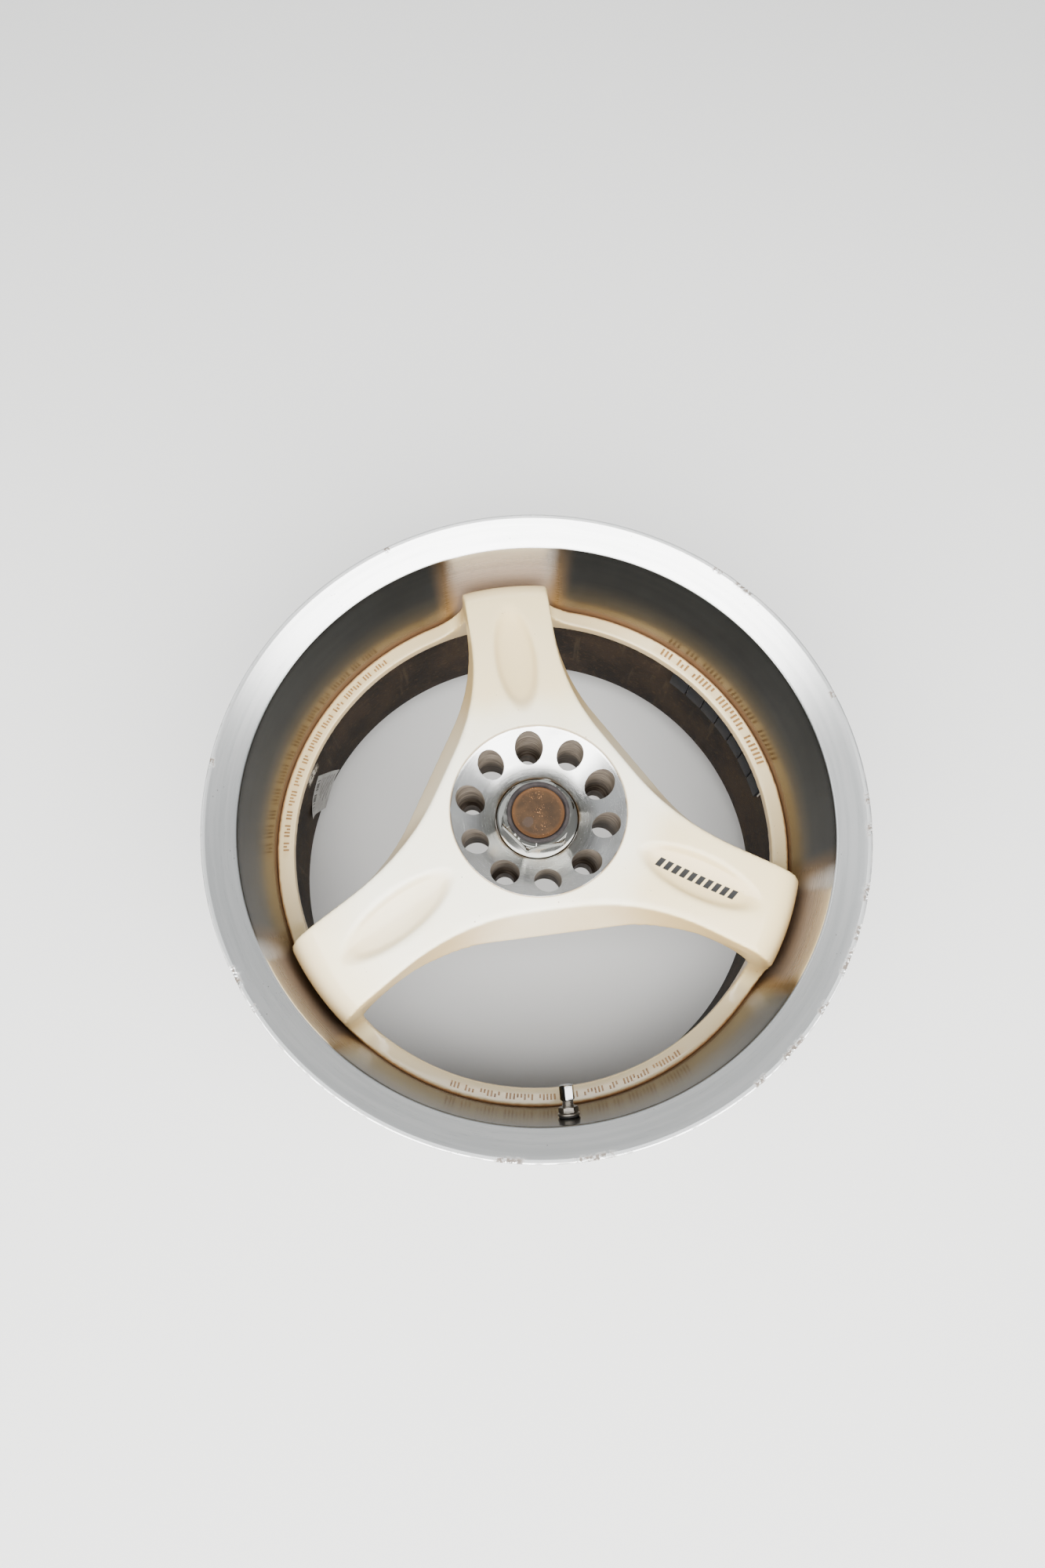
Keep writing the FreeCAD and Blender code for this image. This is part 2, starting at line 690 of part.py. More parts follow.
def balance_weight_tape():
    """One strip of foam tape under the seven weights."""
    outer = size("well_radius") - size("wall_gap")
    low = size("weight_top_z") - size("weight_width")
    tape = wall_sector("balance_weight_tape", outer - size("tape_height"), outer, low - 0.2,
                       size("weight_width") + 0.7, SIZES["weight_start"] - 0.2,
                       size("weight_pitch") * 6 + size("weight_angle") + 0.4)
    tape.Label = "balance_weight_tape"
    return tape


def stock_label():
    """Paper label stuck askew on the inside of the barrel."""
    outer = size("well_radius") - size("wall_gap")
    shell = wall_sector("label_shell", outer - size("label_height"), outer, size("label_z") - 40,
                        as_dim(80), SIZES["label_angle"] - 15, as_dim(30))
    sheet_box = doc.addObject("Part::Box", "label_outline")
    sheet_box.Length = 30
    set_size(sheet_box, "Width", size("label_width"))
    set_size(sheet_box, "Height", size("label_length"))
    facing = FreeCAD.Rotation(FreeCAD.Vector(0, 0, 1), SIZES["label_angle"])
    askew = FreeCAD.Rotation(FreeCAD.Vector(1, 0, 0), SIZES["label_tilt"])
    turn = facing.multiply(askew)
    corner = turn.multVec(FreeCAD.Vector(0, -SIZES["label_width"] / 2, -SIZES["label_length"] / 2))
    middle = facing.multVec(FreeCAD.Vector(180, 0, SIZES["label_z"]))
    sheet_box.Placement = FreeCAD.Placement(middle + corner, turn)
    label = doc.addObject("Part::Common", "stock_label")
    label.Label = "stock_label"
    label.Base = shell
    label.Tool = sheet_box
    return label


washer_top = size("washer_top")
stem = size("stem_radius")
nodes = [
    rim_barrel(),
    forged_disc(),
    weld_bead(),
    centre_cap_nut(),
    centre_cap_cup(),
    centre_cap_badge(),
    round_ring("centre_cap_oring", size("cap_radius") - 0.9, 0.78, size("cone_inner_z") - 2.8),
    round_ring("centre_cap_spring_ring", as_dim(29.1), 0.8, size("cone_inner_z") - 9.6),
    valve_stem(),
    flat_ring("valve_inner_seal", stem + 0.02, 7.4, size("stem_head_top"), -4.3, 0.3),
    flat_ring("valve_grommet", stem + 0.02, 7.0, 0.15, 1.4, 0.2),
    flat_ring("valve_washer", stem + 0.05, 7.7, 1.4, washer_top, 0.5),
    valve_nut(),
    valve_core_body(),
    valve_core_pin(),
    valve_core_spring(),
    valve_cap(),
    flat_ring("valve_cap_seal", 1.2, 3.6, size("stem_top") + 0.05,
              size("cap_base") + size("cap_length") - 1.25, 0.1),
    balance_weights(),
    balance_weight_tape(),
    stock_label(),
]
doc.recompute()

faults = [item.Name for item in doc.Objects if "Invalid" in item.State or "Error" in item.State]
for node in nodes:
    if node.Shape.isNull() or not node.Shape.isValid() or not node.Shape.Solids:
        faults.append(node.Label)
if faults:
    raise RuntimeError(f"not built: {sorted(set(faults))}")

os.makedirs("parts", exist_ok=True)
for node in nodes:
    node.Shape.exportStep(f"parts/{node.Label}.step")
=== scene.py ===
"""A forged three-spoke racing wheel rim, lying face up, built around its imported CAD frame."""

import math
import random

import bmesh
import bpy
import numpy as np
from mathutils import Matrix, Vector, noise


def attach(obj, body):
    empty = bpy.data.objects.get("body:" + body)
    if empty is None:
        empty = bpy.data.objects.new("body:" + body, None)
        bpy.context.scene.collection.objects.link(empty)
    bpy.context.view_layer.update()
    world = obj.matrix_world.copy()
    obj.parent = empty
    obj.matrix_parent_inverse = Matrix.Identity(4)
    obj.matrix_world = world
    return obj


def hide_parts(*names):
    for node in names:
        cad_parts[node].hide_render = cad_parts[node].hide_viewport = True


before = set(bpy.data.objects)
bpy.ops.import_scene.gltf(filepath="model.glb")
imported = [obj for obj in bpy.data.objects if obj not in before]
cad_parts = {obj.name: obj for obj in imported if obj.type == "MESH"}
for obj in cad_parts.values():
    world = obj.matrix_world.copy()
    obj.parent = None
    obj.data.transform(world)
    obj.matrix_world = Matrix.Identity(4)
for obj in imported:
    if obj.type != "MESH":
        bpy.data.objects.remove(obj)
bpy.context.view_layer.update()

MM = 0.001
TURN = 2 * math.pi

# ---- sizes, in mm, as in the CAD
FLANGE, FRONT, REAR, BEAD = 235.6, 72.5, -168.5, 218.3
LIP_FOOT, LIP_FOOT_Z, WALL_FOOT, WALL_FOOT_Z = 213.5, 60.1, 203.6, -17.5
RING_TOP, SHOULDER = -19.9, -29.0
WELL, WELL_OUT, WELL_END = 198.2, 202.2, -129.0
HUB_CUT, HUB_RIM, HUB_RIM_Z = 63.4, 63.2, 63.0
CAP_SEAT, CAP_FLANGE, CAP_BORE = 38.0, 30.7, 31.0
BOLT_CIRCLE, BOLT_R, BOLT_HOLE, SEAT_TOP, SEAT_DEPTH = 50.0, 10.5, 7.5, 19.5, 5.2
LIGHT_R, LIGHT_FLOOR, LIGHT_BACK = 9.8, 27.0, 12.0
CUP_R, CUP_TOP, HEX_TOP, BADGE_R, BADGE_TOP = 22.8, 55.9, 52.5, 19.2, 53.8
VALVE_Z, VALVE_TILT, VALVE_TURN = 29.5, 7.2, -1.9
LABEL_ANGLE, LABEL_TILT, LABEL_Z = 153.9, -28.0, -107.0
DIMPLE_R, DIMPLE_LONG, DIMPLE_WIDE, DIMPLE_DEEPER = 124.0, 51.0, 17.0, 2.8
SPOKES = (90, 210, 330)
KERB_MARKS = [
    # angle, half width in degrees, depth in mm
    (203.0, 2.0, 2.6), (209.0, 0.7, 0.5), (40.0, 2.4, 1.6), (46.0, 1.2, 0.5), (354.0, 1.2, 0.5),
    (348.5, 1.5, 0.6), (337.1, 1.8, 1.0), (330.0, 1.6, 0.6), (324.7, 2.6, 0.9), (316.0, 1.4, 0.6),
    (307.5, 3.0, 1.1), (300.0, 1.5, 0.5), (270.7, 3.5, 0.5), (257.4, 2.5, 0.5), (14.0, 1.0, 0.35),
    (112.0, 0.8, 0.4), (165.0, 0.9, 0.35),
]
MARK_ROWS = [
    # first and last angle, middle radius, height and pitch in degrees of the raised strokes on the ring
    (122.0, 176.5, 196.2, 4.4, 0.80), (11.5, 50.0, 197.0, 6.4, 1.16), (244.0, 296.0, 196.6, 4.2, 0.78),
]


# ---- materials
def srgb(red, green, blue):
    """Linear colour, with alpha, of an 8-bit sRGB colour."""
    def linear(c):
        c = c / 255
        return c / 12.92 if c <= 0.04045 else ((c + 0.055) / 1.055) ** 2.4
    return (linear(red), linear(green), linear(blue), 1.0)


class Graph:
    """One material's node tree. Its calls take numbers or sockets, and give sockets."""

    def __init__(self, name, metallic=0.0, **constants):
        self.material = bpy.data.materials.new(name)
        self.material.use_nodes = True
        self.tree = self.material.node_tree
        self.tree.nodes.clear()
        self.shader = self.node("ShaderNodeBsdfPrincipled")
        out = self.node("ShaderNodeOutputMaterial")
        self.tree.links.new(self.shader.outputs[0], out.inputs[0])
        self.shader.inputs["Metallic"].default_value = metallic
        for key, value in constants.items():
            self.shader.inputs[key.replace("_", " ")].default_value = value
        where = self.node("ShaderNodeTexCoord")
        self.place = where.outputs["Object"]
        split = self.node("ShaderNodeSeparateXYZ")
        self.plug(split.inputs[0], self.place)
        self.x, self.y, self.z = split.outputs
        facing = self.node("ShaderNodeSeparateXYZ")
        self.plug(facing.inputs[0], where.outputs["Normal"])
        self.up = facing.outputs[2]
        self.radius = self.math("SQRT", self.plus(self.times(self.x, self.x), self.times(self.y, self.y)))

    def node(self, kind, **settings):
        made = self.tree.nodes.new(kind)
        for key, value in settings.items():
            setattr(made, key, value)
        return made

    def plug(self, socket, value):
        if isinstance(value, bpy.types.NodeSocket):
            self.tree.links.new(value, socket)
        else:
            socket.default_value = value

    def math(self, operation, *values):
        made = self.node("ShaderNodeMath", operation=operation)
        for socket, value in zip(made.inputs, values):
            self.plug(socket, value)
        return made.outputs[0]

    def chain(self, operation, values):
        result = values[0]
        for value in values[1:]:
            result = self.math(operation, result, value)
        return result

    def times(self, *values):
        return self.chain("MULTIPLY", values)

    def plus(self, *values):
        return self.chain("ADD", values)

    def most(self, *values):
        return self.chain("MAXIMUM", values)

    def step(self, value, low, high):
        """0 at low, 1 at high, smooth between them."""
        made = self.node("ShaderNodeMapRange", interpolation_type="SMOOTHSTEP")
        self.plug(made.inputs["Value"], value)
        made.inputs["From Min"].default_value = low
        made.inputs["From Max"].default_value = high
        return made.outputs[0]

    def band(self, value, low, high, soft):
        """1 between low and high, with soft ends."""
        rising = self.step(value, low - soft, low + soft)
        return self.times(rising, self.step(value, high + soft, high - soft))

    def vector(self, x, y, z):
        made = self.node("ShaderNodeCombineXYZ")
        for socket, value in zip(made.inputs, (x, y, z)):
            self.plug(socket, value)
        return made.outputs[0]

    def round_vector(self, around, across):
        """Coordinates that change slowly round the wheel's axis and fast across it."""
        return self.vector(self.times(self.math("DIVIDE", self.x, self.radius), around),
                           self.times(self.math("DIVIDE", self.y, self.radius), around),
                           self.times(self.plus(self.radius, self.z), across))

    def noise(self, scale, detail=3.0, rough=0.5, vector=None):
        made = self.node("ShaderNodeTexNoise")
        self.plug(made.inputs["Vector"], vector or self.place)
        made.inputs["Scale"].default_value = scale
        made.inputs["Detail"].default_value = detail
        made.inputs["Roughness"].default_value = rough
        return made.outputs[0]

    def cells(self, scale, vector=None):
        made = self.node("ShaderNodeTexVoronoi")
        self.plug(made.inputs["Vector"], vector or self.place)
        made.inputs["Scale"].default_value = scale
        return made.outputs["Distance"]

    def mix(self, share, first, second):
        made = self.node("ShaderNodeMix", data_type="RGBA")
        self.plug(made.inputs[0], share)
        self.plug(made.inputs[6], first)
        self.plug(made.inputs[7], second)
        return made.outputs[2]

    def lerp(self, share, first, second):
        made = self.node("ShaderNodeMix", data_type="FLOAT")
        self.plug(made.inputs[0], share)
        self.plug(made.inputs[2], first)
        self.plug(made.inputs[3], second)
        return made.outputs[0]

    def stretched(self, x, y, z):
        """Coordinates scaled differently along each axis."""
        return self.vector(self.times(self.x, x), self.times(self.y, y), self.times(self.z, z))

    def spoke_frame(self, spoke):
        """Distances along and across the spoke at that angle."""
        c, s = math.cos(math.radians(spoke)), math.sin(math.radians(spoke))
        return (self.plus(self.times(self.x, c), self.times(self.y, s)),
                self.plus(self.times(self.x, -s), self.times(self.y, c)))

    def near_spokes(self, spokes, inner, outer):
        return self.most(*[self.near_angle(spoke, inner, outer) for spoke in spokes])

    def ground(self, share, first, second):
        """Starts the colour as a mixture of two 8-bit sRGB colours."""
        self.colour = self.mix(share, srgb(*first), srgb(*second))

    def stain(self, share, amount, *over):
        """Lays an 8-bit sRGB colour over the colour so far."""
        self.colour = self.mix(self.times(share, amount), self.colour, srgb(*over))

    def less(self, share):
        return self.math("SUBTRACT", 1.0, share)

    def swing(self, value, amount):
        """Half that amount up or down as a value goes from 0 to 1."""
        return self.times(self.math("SUBTRACT", value, 0.5), amount)

    def near_angle(self, degrees, inner, outer):
        """1 within inner degrees of a direction round the axis, 0 beyond outer degrees."""
        a = math.radians(degrees)
        along = self.plus(self.times(self.x, math.cos(a)), self.times(self.y, math.sin(a)))
        share = self.math("DIVIDE", along, self.radius)
        return self.step(share, math.cos(math.radians(outer)), math.cos(math.radians(inner)))

    def blot(self, centre, size, wobble):
        """A spot of about that size in mm round a point in mm, with an uneven edge."""
        away = self.node("ShaderNodeVectorMath", operation="DISTANCE")
        self.plug(away.inputs[0], self.place)
        away.inputs[1].default_value = [c * MM for c in centre]
        ragged = self.swing(wobble, size * 1.6 * MM)
        return self.step(self.plus(away.outputs["Value"], ragged), size * MM, size * 0.8 * MM)

    def bump(self, height, strength, distance):
        made = self.node("ShaderNodeBump")
        made.inputs["Strength"].default_value = strength
        made.inputs["Distance"].default_value = distance
        self.plug(made.inputs["Height"], height)
        return made.outputs[0]

    def turned_sheen(self, amount):
        """Highlights drawn out across the turning marks."""
        tangent = self.node("ShaderNodeTangent", direction_type="RADIAL", axis="Z")
        self.plug(self.shader.inputs["Tangent"], tangent.outputs[0])
        self.shader.inputs["Anisotropic"].default_value = amount
        self.shader.inputs["Anisotropic Rotation"].default_value = 0.25

    def done(self, rough, normal, metallic=None):
        self.plug(self.shader.inputs["Base Color"], self.colour)
        self.plug(self.shader.inputs["Roughness"], rough)
        self.plug(self.shader.inputs["Normal"], normal)
        if metallic is not None:
            self.plug(self.shader.inputs["Metallic"], metallic)
        return self.material


def polished_rim():
    """Lathe-polished lip and wall. The wall carries a painted dark reflection mixed with brown dirt, has a
    brown band at its bottom, and is tan behind the spokes, partly staining and partly a painted reflection of
    the spokes.
    """
    g = Graph("polished_rim", metallic=1.0)
    lines = g.noise(1.0, 2.0, 0.6, g.round_vector(9.0, 2600.0))
    bands = g.noise(1.0, 2.0, 0.5, g.round_vector(2.0, 160.0))
    patches = g.noise(11.0, 4.0)
    bright = g.mix(g.step(bands, 0.35, 0.65), srgb(226, 227, 225), srgb(238, 238, 236))
    wall = g.step(g.radius, 0.2150, 0.2135)
    behind = g.near_spokes(SPOKES, 9.0, 13.0)
    # The wall below the lip is painted dark: a painted dark reflection, with brown dirt towards the bottom,
    # kept lighter behind the spokes.
    dark_reflection_and_dirt = g.times(wall, g.less(g.times(behind, 0.85)), g.lerp(patches, 0.94, 1.0))
    darkening = g.mix(g.step(g.z, 0.028, -0.014), srgb(35, 34, 31), srgb(96, 82, 58))
    g.colour = g.mix(g.times(dark_reflection_and_dirt, 0.99), bright, darkening)
    # Tan on the upper wall behind the spokes: partly staining, partly a painted reflection of the spokes.
    stain = g.times(g.near_spokes(SPOKES, 11.0, 16.5), wall, g.step(g.z, 0.095, 0.005),
                    g.lerp(patches, 0.7, 1.0))
    g.stain(stain, 0.8, 150, 112, 58)
    # Darker brown low on the wall behind the two lower spokes.
    low_dark_behind_spokes = g.times(g.near_spokes(SPOKES[1:], 10.0, 18.0), wall, g.step(g.z, 0.030, -0.012))
    g.stain(low_dark_behind_spokes, 0.8, 72, 48, 24)
    # Painted dark reflection on the near side of the wall, just below the lip.
    near_side_dark_reflection = g.times(g.near_angle(270.0, 34.0, 50.0), wall, g.step(g.z, 0.062, 0.020))
    g.stain(near_side_dark_reflection, 0.6, 44, 38, 27)
    tide = g.times(g.step(g.z, -0.0105, -0.0178), g.lerp(patches, 0.55, 1.0))
    g.stain(tide, 0.85, 104, 66, 30)
    splash = g.times(g.blot((-181.0, -88.0, -8.0), 26.0, patches), 0.3)
    g.stain(splash, 1, 120, 92, 56)
    pits = g.times(g.step(g.cells(260.0), 0.13, 0.07), g.step(g.noise(40.0, 2.0), 0.58, 0.66))
    g.stain(pits, 0.7, 74, 66, 54)
    edge = g.step(g.noise(120.0, 4.0), 0.50, 0.62)
    worn = g.times(g.step(g.radius, 0.2335, 0.2353), edge)
    g.stain(worn, 0.6, 150, 148, 143)
    kerbed_runs = g.most(*[g.near_angle(a, half * 0.6, half * 1.1) for a, half, _ in KERB_MARKS])
    outermost = g.step(g.plus(g.radius, g.times(patches, 0.004)), 0.2328, 0.2352)
    scrapes = g.times(kerbed_runs, outermost, g.step(g.noise(420.0, 3.0, 0.6), 0.44, 0.54))
    g.stain(scrapes, 0.9, 84, 68, 52)
    rough = g.plus(g.lerp(lines, 0.16, 0.27), g.times(g.most(worn, scrapes), 0.3), g.times(stain, 0.10),
                   g.times(tide, 0.35), g.times(g.step(g.radius, 0.2140, 0.2160), 0.08))
    g.turned_sheen(0.45)
    normal = g.bump(g.plus(lines, g.times(pits, -2.0)), 0.10, 0.00006)
    metal = g.less(g.times(g.most(tide, scrapes, g.times(stain, 0.75)), 0.8))
    return g.done(rough, normal, metal)


def dusty_well():
    """Baked-on brown brake dust inside the barrel."""
    g = Graph("dusty_well", Specular_IOR_Level=0.2)
    broad = g.noise(16.0, 5.0, 0.6)
    fine = g.noise(260.0, 4.0, 0.7)
    grains = g.step(g.cells(420.0), 0.34, 0.16)
    g.ground(g.step(broad, 0.35, 0.68), (26, 19, 14), (50, 38, 27))
    g.stain(g.step(fine, 0.50, 0.72), 0.45, 84, 68, 50)
    g.stain(g.times(grains, g.step(broad, 0.62, 0.40)), 0.6, 16, 13, 11)
    runs = g.step(g.noise(1.0, 3.0, 0.6, g.stretched(90.0, 90.0, 9.0)), 0.60, 0.72)
    g.stain(runs, 0.22, 96, 80, 60)
    streak = g.times(g.near_angle(153.5, 0.8, 3.4), g.band(g.z, -0.066, -0.056, 0.003),
                     g.step(fine, 0.40, 0.58))
    g.stain(streak, 0.8, 214, 206, 190)
    normal = g.bump(g.plus(fine, g.times(grains, 0.8)), 0.55, 0.0004)
    return g.done(g.lerp(fine, 0.62, 0.9), normal, g.times(g.step(broad, 0.55, 0.75), 0.08))


def machined_tyre_side():
    """Bare turned aluminium under the tyre, with rubber smears on the bead seats."""
    g = Graph("machined_tyre_side", metallic=1.0)
    lines = g.noise(1.0, 2.0, 0.6, g.round_vector(6.0, 1500.0))
    patches = g.noise(14.0, 5.0, 0.6)
    g.ground(g.step(patches, 0.35, 0.7), (196, 196, 192), (164, 162, 156))
    seats = g.most(g.band(g.z, 0.036, 0.062, 0.003), g.band(g.z, -0.158, -0.132, 0.003))
    smear = g.times(seats, g.step(g.noise(60.0, 4.0, 0.65), 0.36, 0.80))
    g.stain(smear, 0.75, 58, 56, 54)
    white = g.times(g.step(g.noise(34.0, 5.0, 0.7), 0.60, 0.72), 0.5)
    g.stain(white, 1, 208, 205, 196)
    rough = g.plus(g.lerp(lines, 0.30, 0.46), g.times(smear, 0.25))
    g.turned_sheen(0.4)
    metal = g.less(g.times(smear, 0.85))
    return g.done(rough, g.bump(lines, 0.18, 0.0001), metal)


def decal_bars(g):
    """A row of plain slanted bars printed along the dimple of one spoke."""
    along, across = g.spoke_frame(SPOKES[2])
    start, length, pitch = 0.0915, 0.0630, 0.0063
    skewed = g.plus(along, g.times(across, -0.38))
    phase = g.math("FRACT", g.times(g.math("SUBTRACT", skewed, start), 1 / pitch))
    bars = g.band(phase, 0.14, 0.80, 0.03)
    row = g.times(g.band(skewed, start, start + length, 0.0001), g.band(across, -0.0043, 0.0029, 0.00015))
    return g.times(bars, row, g.step(g.up, 0.2, 0.4))


def cream_paint():
    """Old glossy white enamel that has gone cream, tan on the flanks and brown at the seams; the tan on the
    flanks and towards the spoke ends, the darker T and R spokes and the dimple tint are partly painted shade,
    and the bottom of the ring has a painted shadow.
    """
    g = Graph("cream_paint", Coat_Roughness=0.06)
    broad = g.noise(9.0, 4.0, 0.55)
    fine = g.noise(190.0, 4.0, 0.6)
    g.ground(g.step(broad, 0.38, 0.70), (246, 240, 218), (240, 229, 196))
    # Tan towards the spoke ends: partly aged paint, partly painted shade where the ends roll down.
    out = g.step(g.radius, 0.120, 0.196)
    g.stain(out, 0.8, 228, 206, 154)
    # T and R spokes yellower and darker: partly aged paint, partly painted shade where they face away from
    # the light.
    aged_and_painted_shade = g.times(g.most(g.near_angle(SPOKES[0], 14.0, 34.0), g.near_angle(SPOKES[2], 12.0, 30.0)),
                   g.step(g.radius, 0.066, 0.100))
    g.stain(aged_and_painted_shade, 0.75, 226, 204, 150)
    # Spoke sides tan: partly dirt, partly painted shade on faces turned away from the light.
    flank_dirt_and_painted_shade = g.times(g.step(g.up, 0.82, 0.30), g.step(g.radius, 0.064, 0.068))
    g.stain(g.times(flank_dirt_and_painted_shade, g.lerp(broad, 0.55, 1.0)), 1, 180, 148, 94)
    ring = g.times(g.step(g.radius, 0.1880, 0.1905), g.step(g.z, -0.012, -0.018), g.step(g.up, 0.7, 0.95))
    ring_tone = g.lerp(g.near_angle(32.0, 12.0, 34.0), 0.9, 0.1)
    g.stain(g.times(ring, ring_tone), 1, 206, 184, 138)
    # Painted shadow of the lip across the bottom of the ring.
    g.stain(g.times(ring, g.near_angle(270.0, 24.0, 52.0)), 0.6, 160, 146, 112)
    halo = g.most(*[g.times(g.near_angle((a + b) / 2, (b - a) / 2, (b - a) / 2 + 2.0),
                            g.band(g.radius, (mid - tall / 2) * MM, (mid + tall / 2) * MM, 0.0008))
                    for a, b, mid, tall, _ in MARK_ROWS])
    g.stain(g.times(halo, ring, g.lerp(fine, 0.1, 0.4)), 1, 190, 156, 104)
    # Darker tan in the dimples: painted shade of the hollows, partly dirt.
    dimple_dirt_and_painted_shade = []
    for spoke in SPOKES:
        along, across = g.spoke_frame(spoke)
        long_share = g.times(g.plus(along, -DIMPLE_R * MM), 1 / (DIMPLE_LONG * MM))
        wide_share = g.times(across, 1 / (DIMPLE_WIDE * MM))
        reach = g.plus(g.math("POWER", long_share, 2.0), g.math("POWER", wide_share, 2.0))
        dimple_dirt_and_painted_shade.append(g.step(reach, 1.0, 0.55))
    g.stain(g.times(g.most(*dimple_dirt_and_painted_shade), g.step(g.up, 0.2, 0.5)), 0.5, 212, 184, 128)
    seam = g.step(g.plus(g.radius, g.swing(fine, 0.0016)), 0.2008, 0.2026)
    g.stain(seam, 0.9, 128, 84, 42)
    back = g.step(g.up, -0.2, -0.6)
    dust = g.mix(g.step(fine, 0.4, 0.65), srgb(116, 98, 74), srgb(170, 150, 118))
    g.colour = g.mix(g.times(back, 0.75), g.colour, dust)
    hub_edge = g.times(g.step(g.radius, 0.0646, 0.0636), g.step(g.up, 0.2, 0.5))
    g.stain(hub_edge, 0.75, 158, 128, 84)
    specks = g.times(g.step(g.cells(150.0), 0.10, 0.05), g.step(g.noise(22.0, 2.0), 0.57, 0.66))
    dots = g.times(g.step(g.cells(330.0), 0.12, 0.06), g.step(g.noise(33.0, 2.0), 0.60, 0.68))
    g.stain(g.most(specks, dots), 0.75, 120, 84, 54)
    chips = [
        ((131.3, -89.9, 54.0), 1.7), ((134.5, -91.5, 53.2), 1.1), ((29.3, 94.0, 60.5), 0.9),
        ((26.0, 61.0, 62.5), 0.8), ((-118.0, -79.0, 56.0), 0.8), ((70.0, -68.0, 60.0), 0.7),
        ((32.0, 99.0, 60.0), 0.6), ((-60.0, -42.0, 62.0), 0.7),
    ]
    scars = g.most(*[g.blot(c, s, fine) for c, s in chips])
    g.stain(scars, 0.85, 112, 108, 104)
    bars = decal_bars(g)
    g.plug(g.shader.inputs["Coat Weight"], g.lerp(bars, 0.45, 0.0))
    g.stain(g.times(bars, g.lerp(g.step(fine, 0.66, 0.74), 1.0, 0.4)), 1, 4, 4, 5)
    rough = g.plus(g.lerp(broad, 0.26, 0.38), g.times(flank_dirt_and_painted_shade, 0.15), g.times(seam, 0.3), g.times(back, 0.3),
                   g.times(bars, 0.35))
    height = g.plus(g.times(fine, 0.25), g.times(scars, -1.5), g.times(g.most(specks, dots), 0.5),
                    g.times(bars, 0.4))
    return g.done(rough, g.bump(height, 0.16, 0.0003))


def turned_hub():
    """Bright turned face of the hub, dull brown inside its holes."""
    g = Graph("turned_hub", metallic=1.0)
    lines = g.noise(1.0, 2.0, 0.6, g.round_vector(7.0, 2400.0))
    coarse = g.noise(1.0, 1.0, 0.5, g.round_vector(1.2, 420.0))
    patches = g.noise(34.0, 4.0)
    face = g.step(g.up, 0.62, 0.74)
    g.ground(g.step(patches, 0.4, 0.7), (232, 232, 230), (214, 213, 209))
    rings = g.step(g.noise(1.0, 2.0, 0.5, g.stretched(60.0, 60.0, 1300.0)), 0.42, 0.6)
    bore = g.mix(rings, srgb(86, 75, 64), srgb(142, 130, 115))
    deep = g.step(g.z, 0.034, 0.012)
    bore = g.mix(g.times(deep, 0.6), bore, srgb(58, 44, 33))
    g.colour = g.mix(face, bore, g.colour)
    rims = g.most(g.step(g.radius, 0.0622, 0.0631), g.step(g.radius, 0.0333, 0.0316))
    g.stain(g.times(rims, g.step(g.noise(70.0, 3.0), 0.40, 0.62)), 0.7, 140, 108, 66)
    scratches = g.step(g.noise(1.0, 3.0, 0.7, g.stretched(90.0, 900.0, 90.0)), 0.70, 0.76)
    rough = g.plus(g.lerp(face, 0.50, 0.24), g.swing(lines, 0.14),
                   g.times(scratches, 0.12), g.swing(coarse, 0.10))
    g.turned_sheen(0.78)
    normal = g.bump(g.plus(lines, g.times(coarse, 1.2)), 0.14, 0.00008)
    return g.done(rough, normal, g.lerp(face, 0.55, 1.0))


def chrome(name, tint, rough, stain):
    """Plated metal with stain in a few places and fine wipe marks."""
    g = Graph(name, metallic=1.0)
    patches = g.noise(55.0, 4.0, 0.6)
    fine = g.noise(700.0, 3.0)
    stained = g.step(patches, 0.56, 0.72)
    g.ground(g.times(stained, stain), tint, (150, 128, 96))
    spots = g.step(g.cells(700.0), 0.10, 0.05)
    g.stain(g.times(spots, g.step(patches, 0.5, 0.6)), 0.6, 88, 80, 70)
    dulled = g.plus(g.lerp(fine, rough, rough + 0.08), g.times(stained, stain * 0.25))
    return g.done(dulled, g.bump(fine, 0.05, 0.00004))


def dark_metal(name, first, second, metallic=0.85, rough=0.38, shine=0.5):
    """Oxidised or coated metal, mottled, with grime grains."""
    g = Graph(name, Specular_IOR_Level=shine)
    broad = g.noise(120.0, 4.0, 0.6)
    fine = g.noise(900.0, 3.0)
    g.ground(g.step(broad, 0.38, 0.66), first, second)
    darkening = g.step(g.cells(900.0), 0.14, 0.06)
    g.stain(darkening, 0.5, 30, 25, 21)
    return g.done(g.lerp(fine, rough, rough + 0.14), g.bump(fine, 0.12, 0.00006),
                  g.lerp(darkening, metallic, metallic * 0.5))


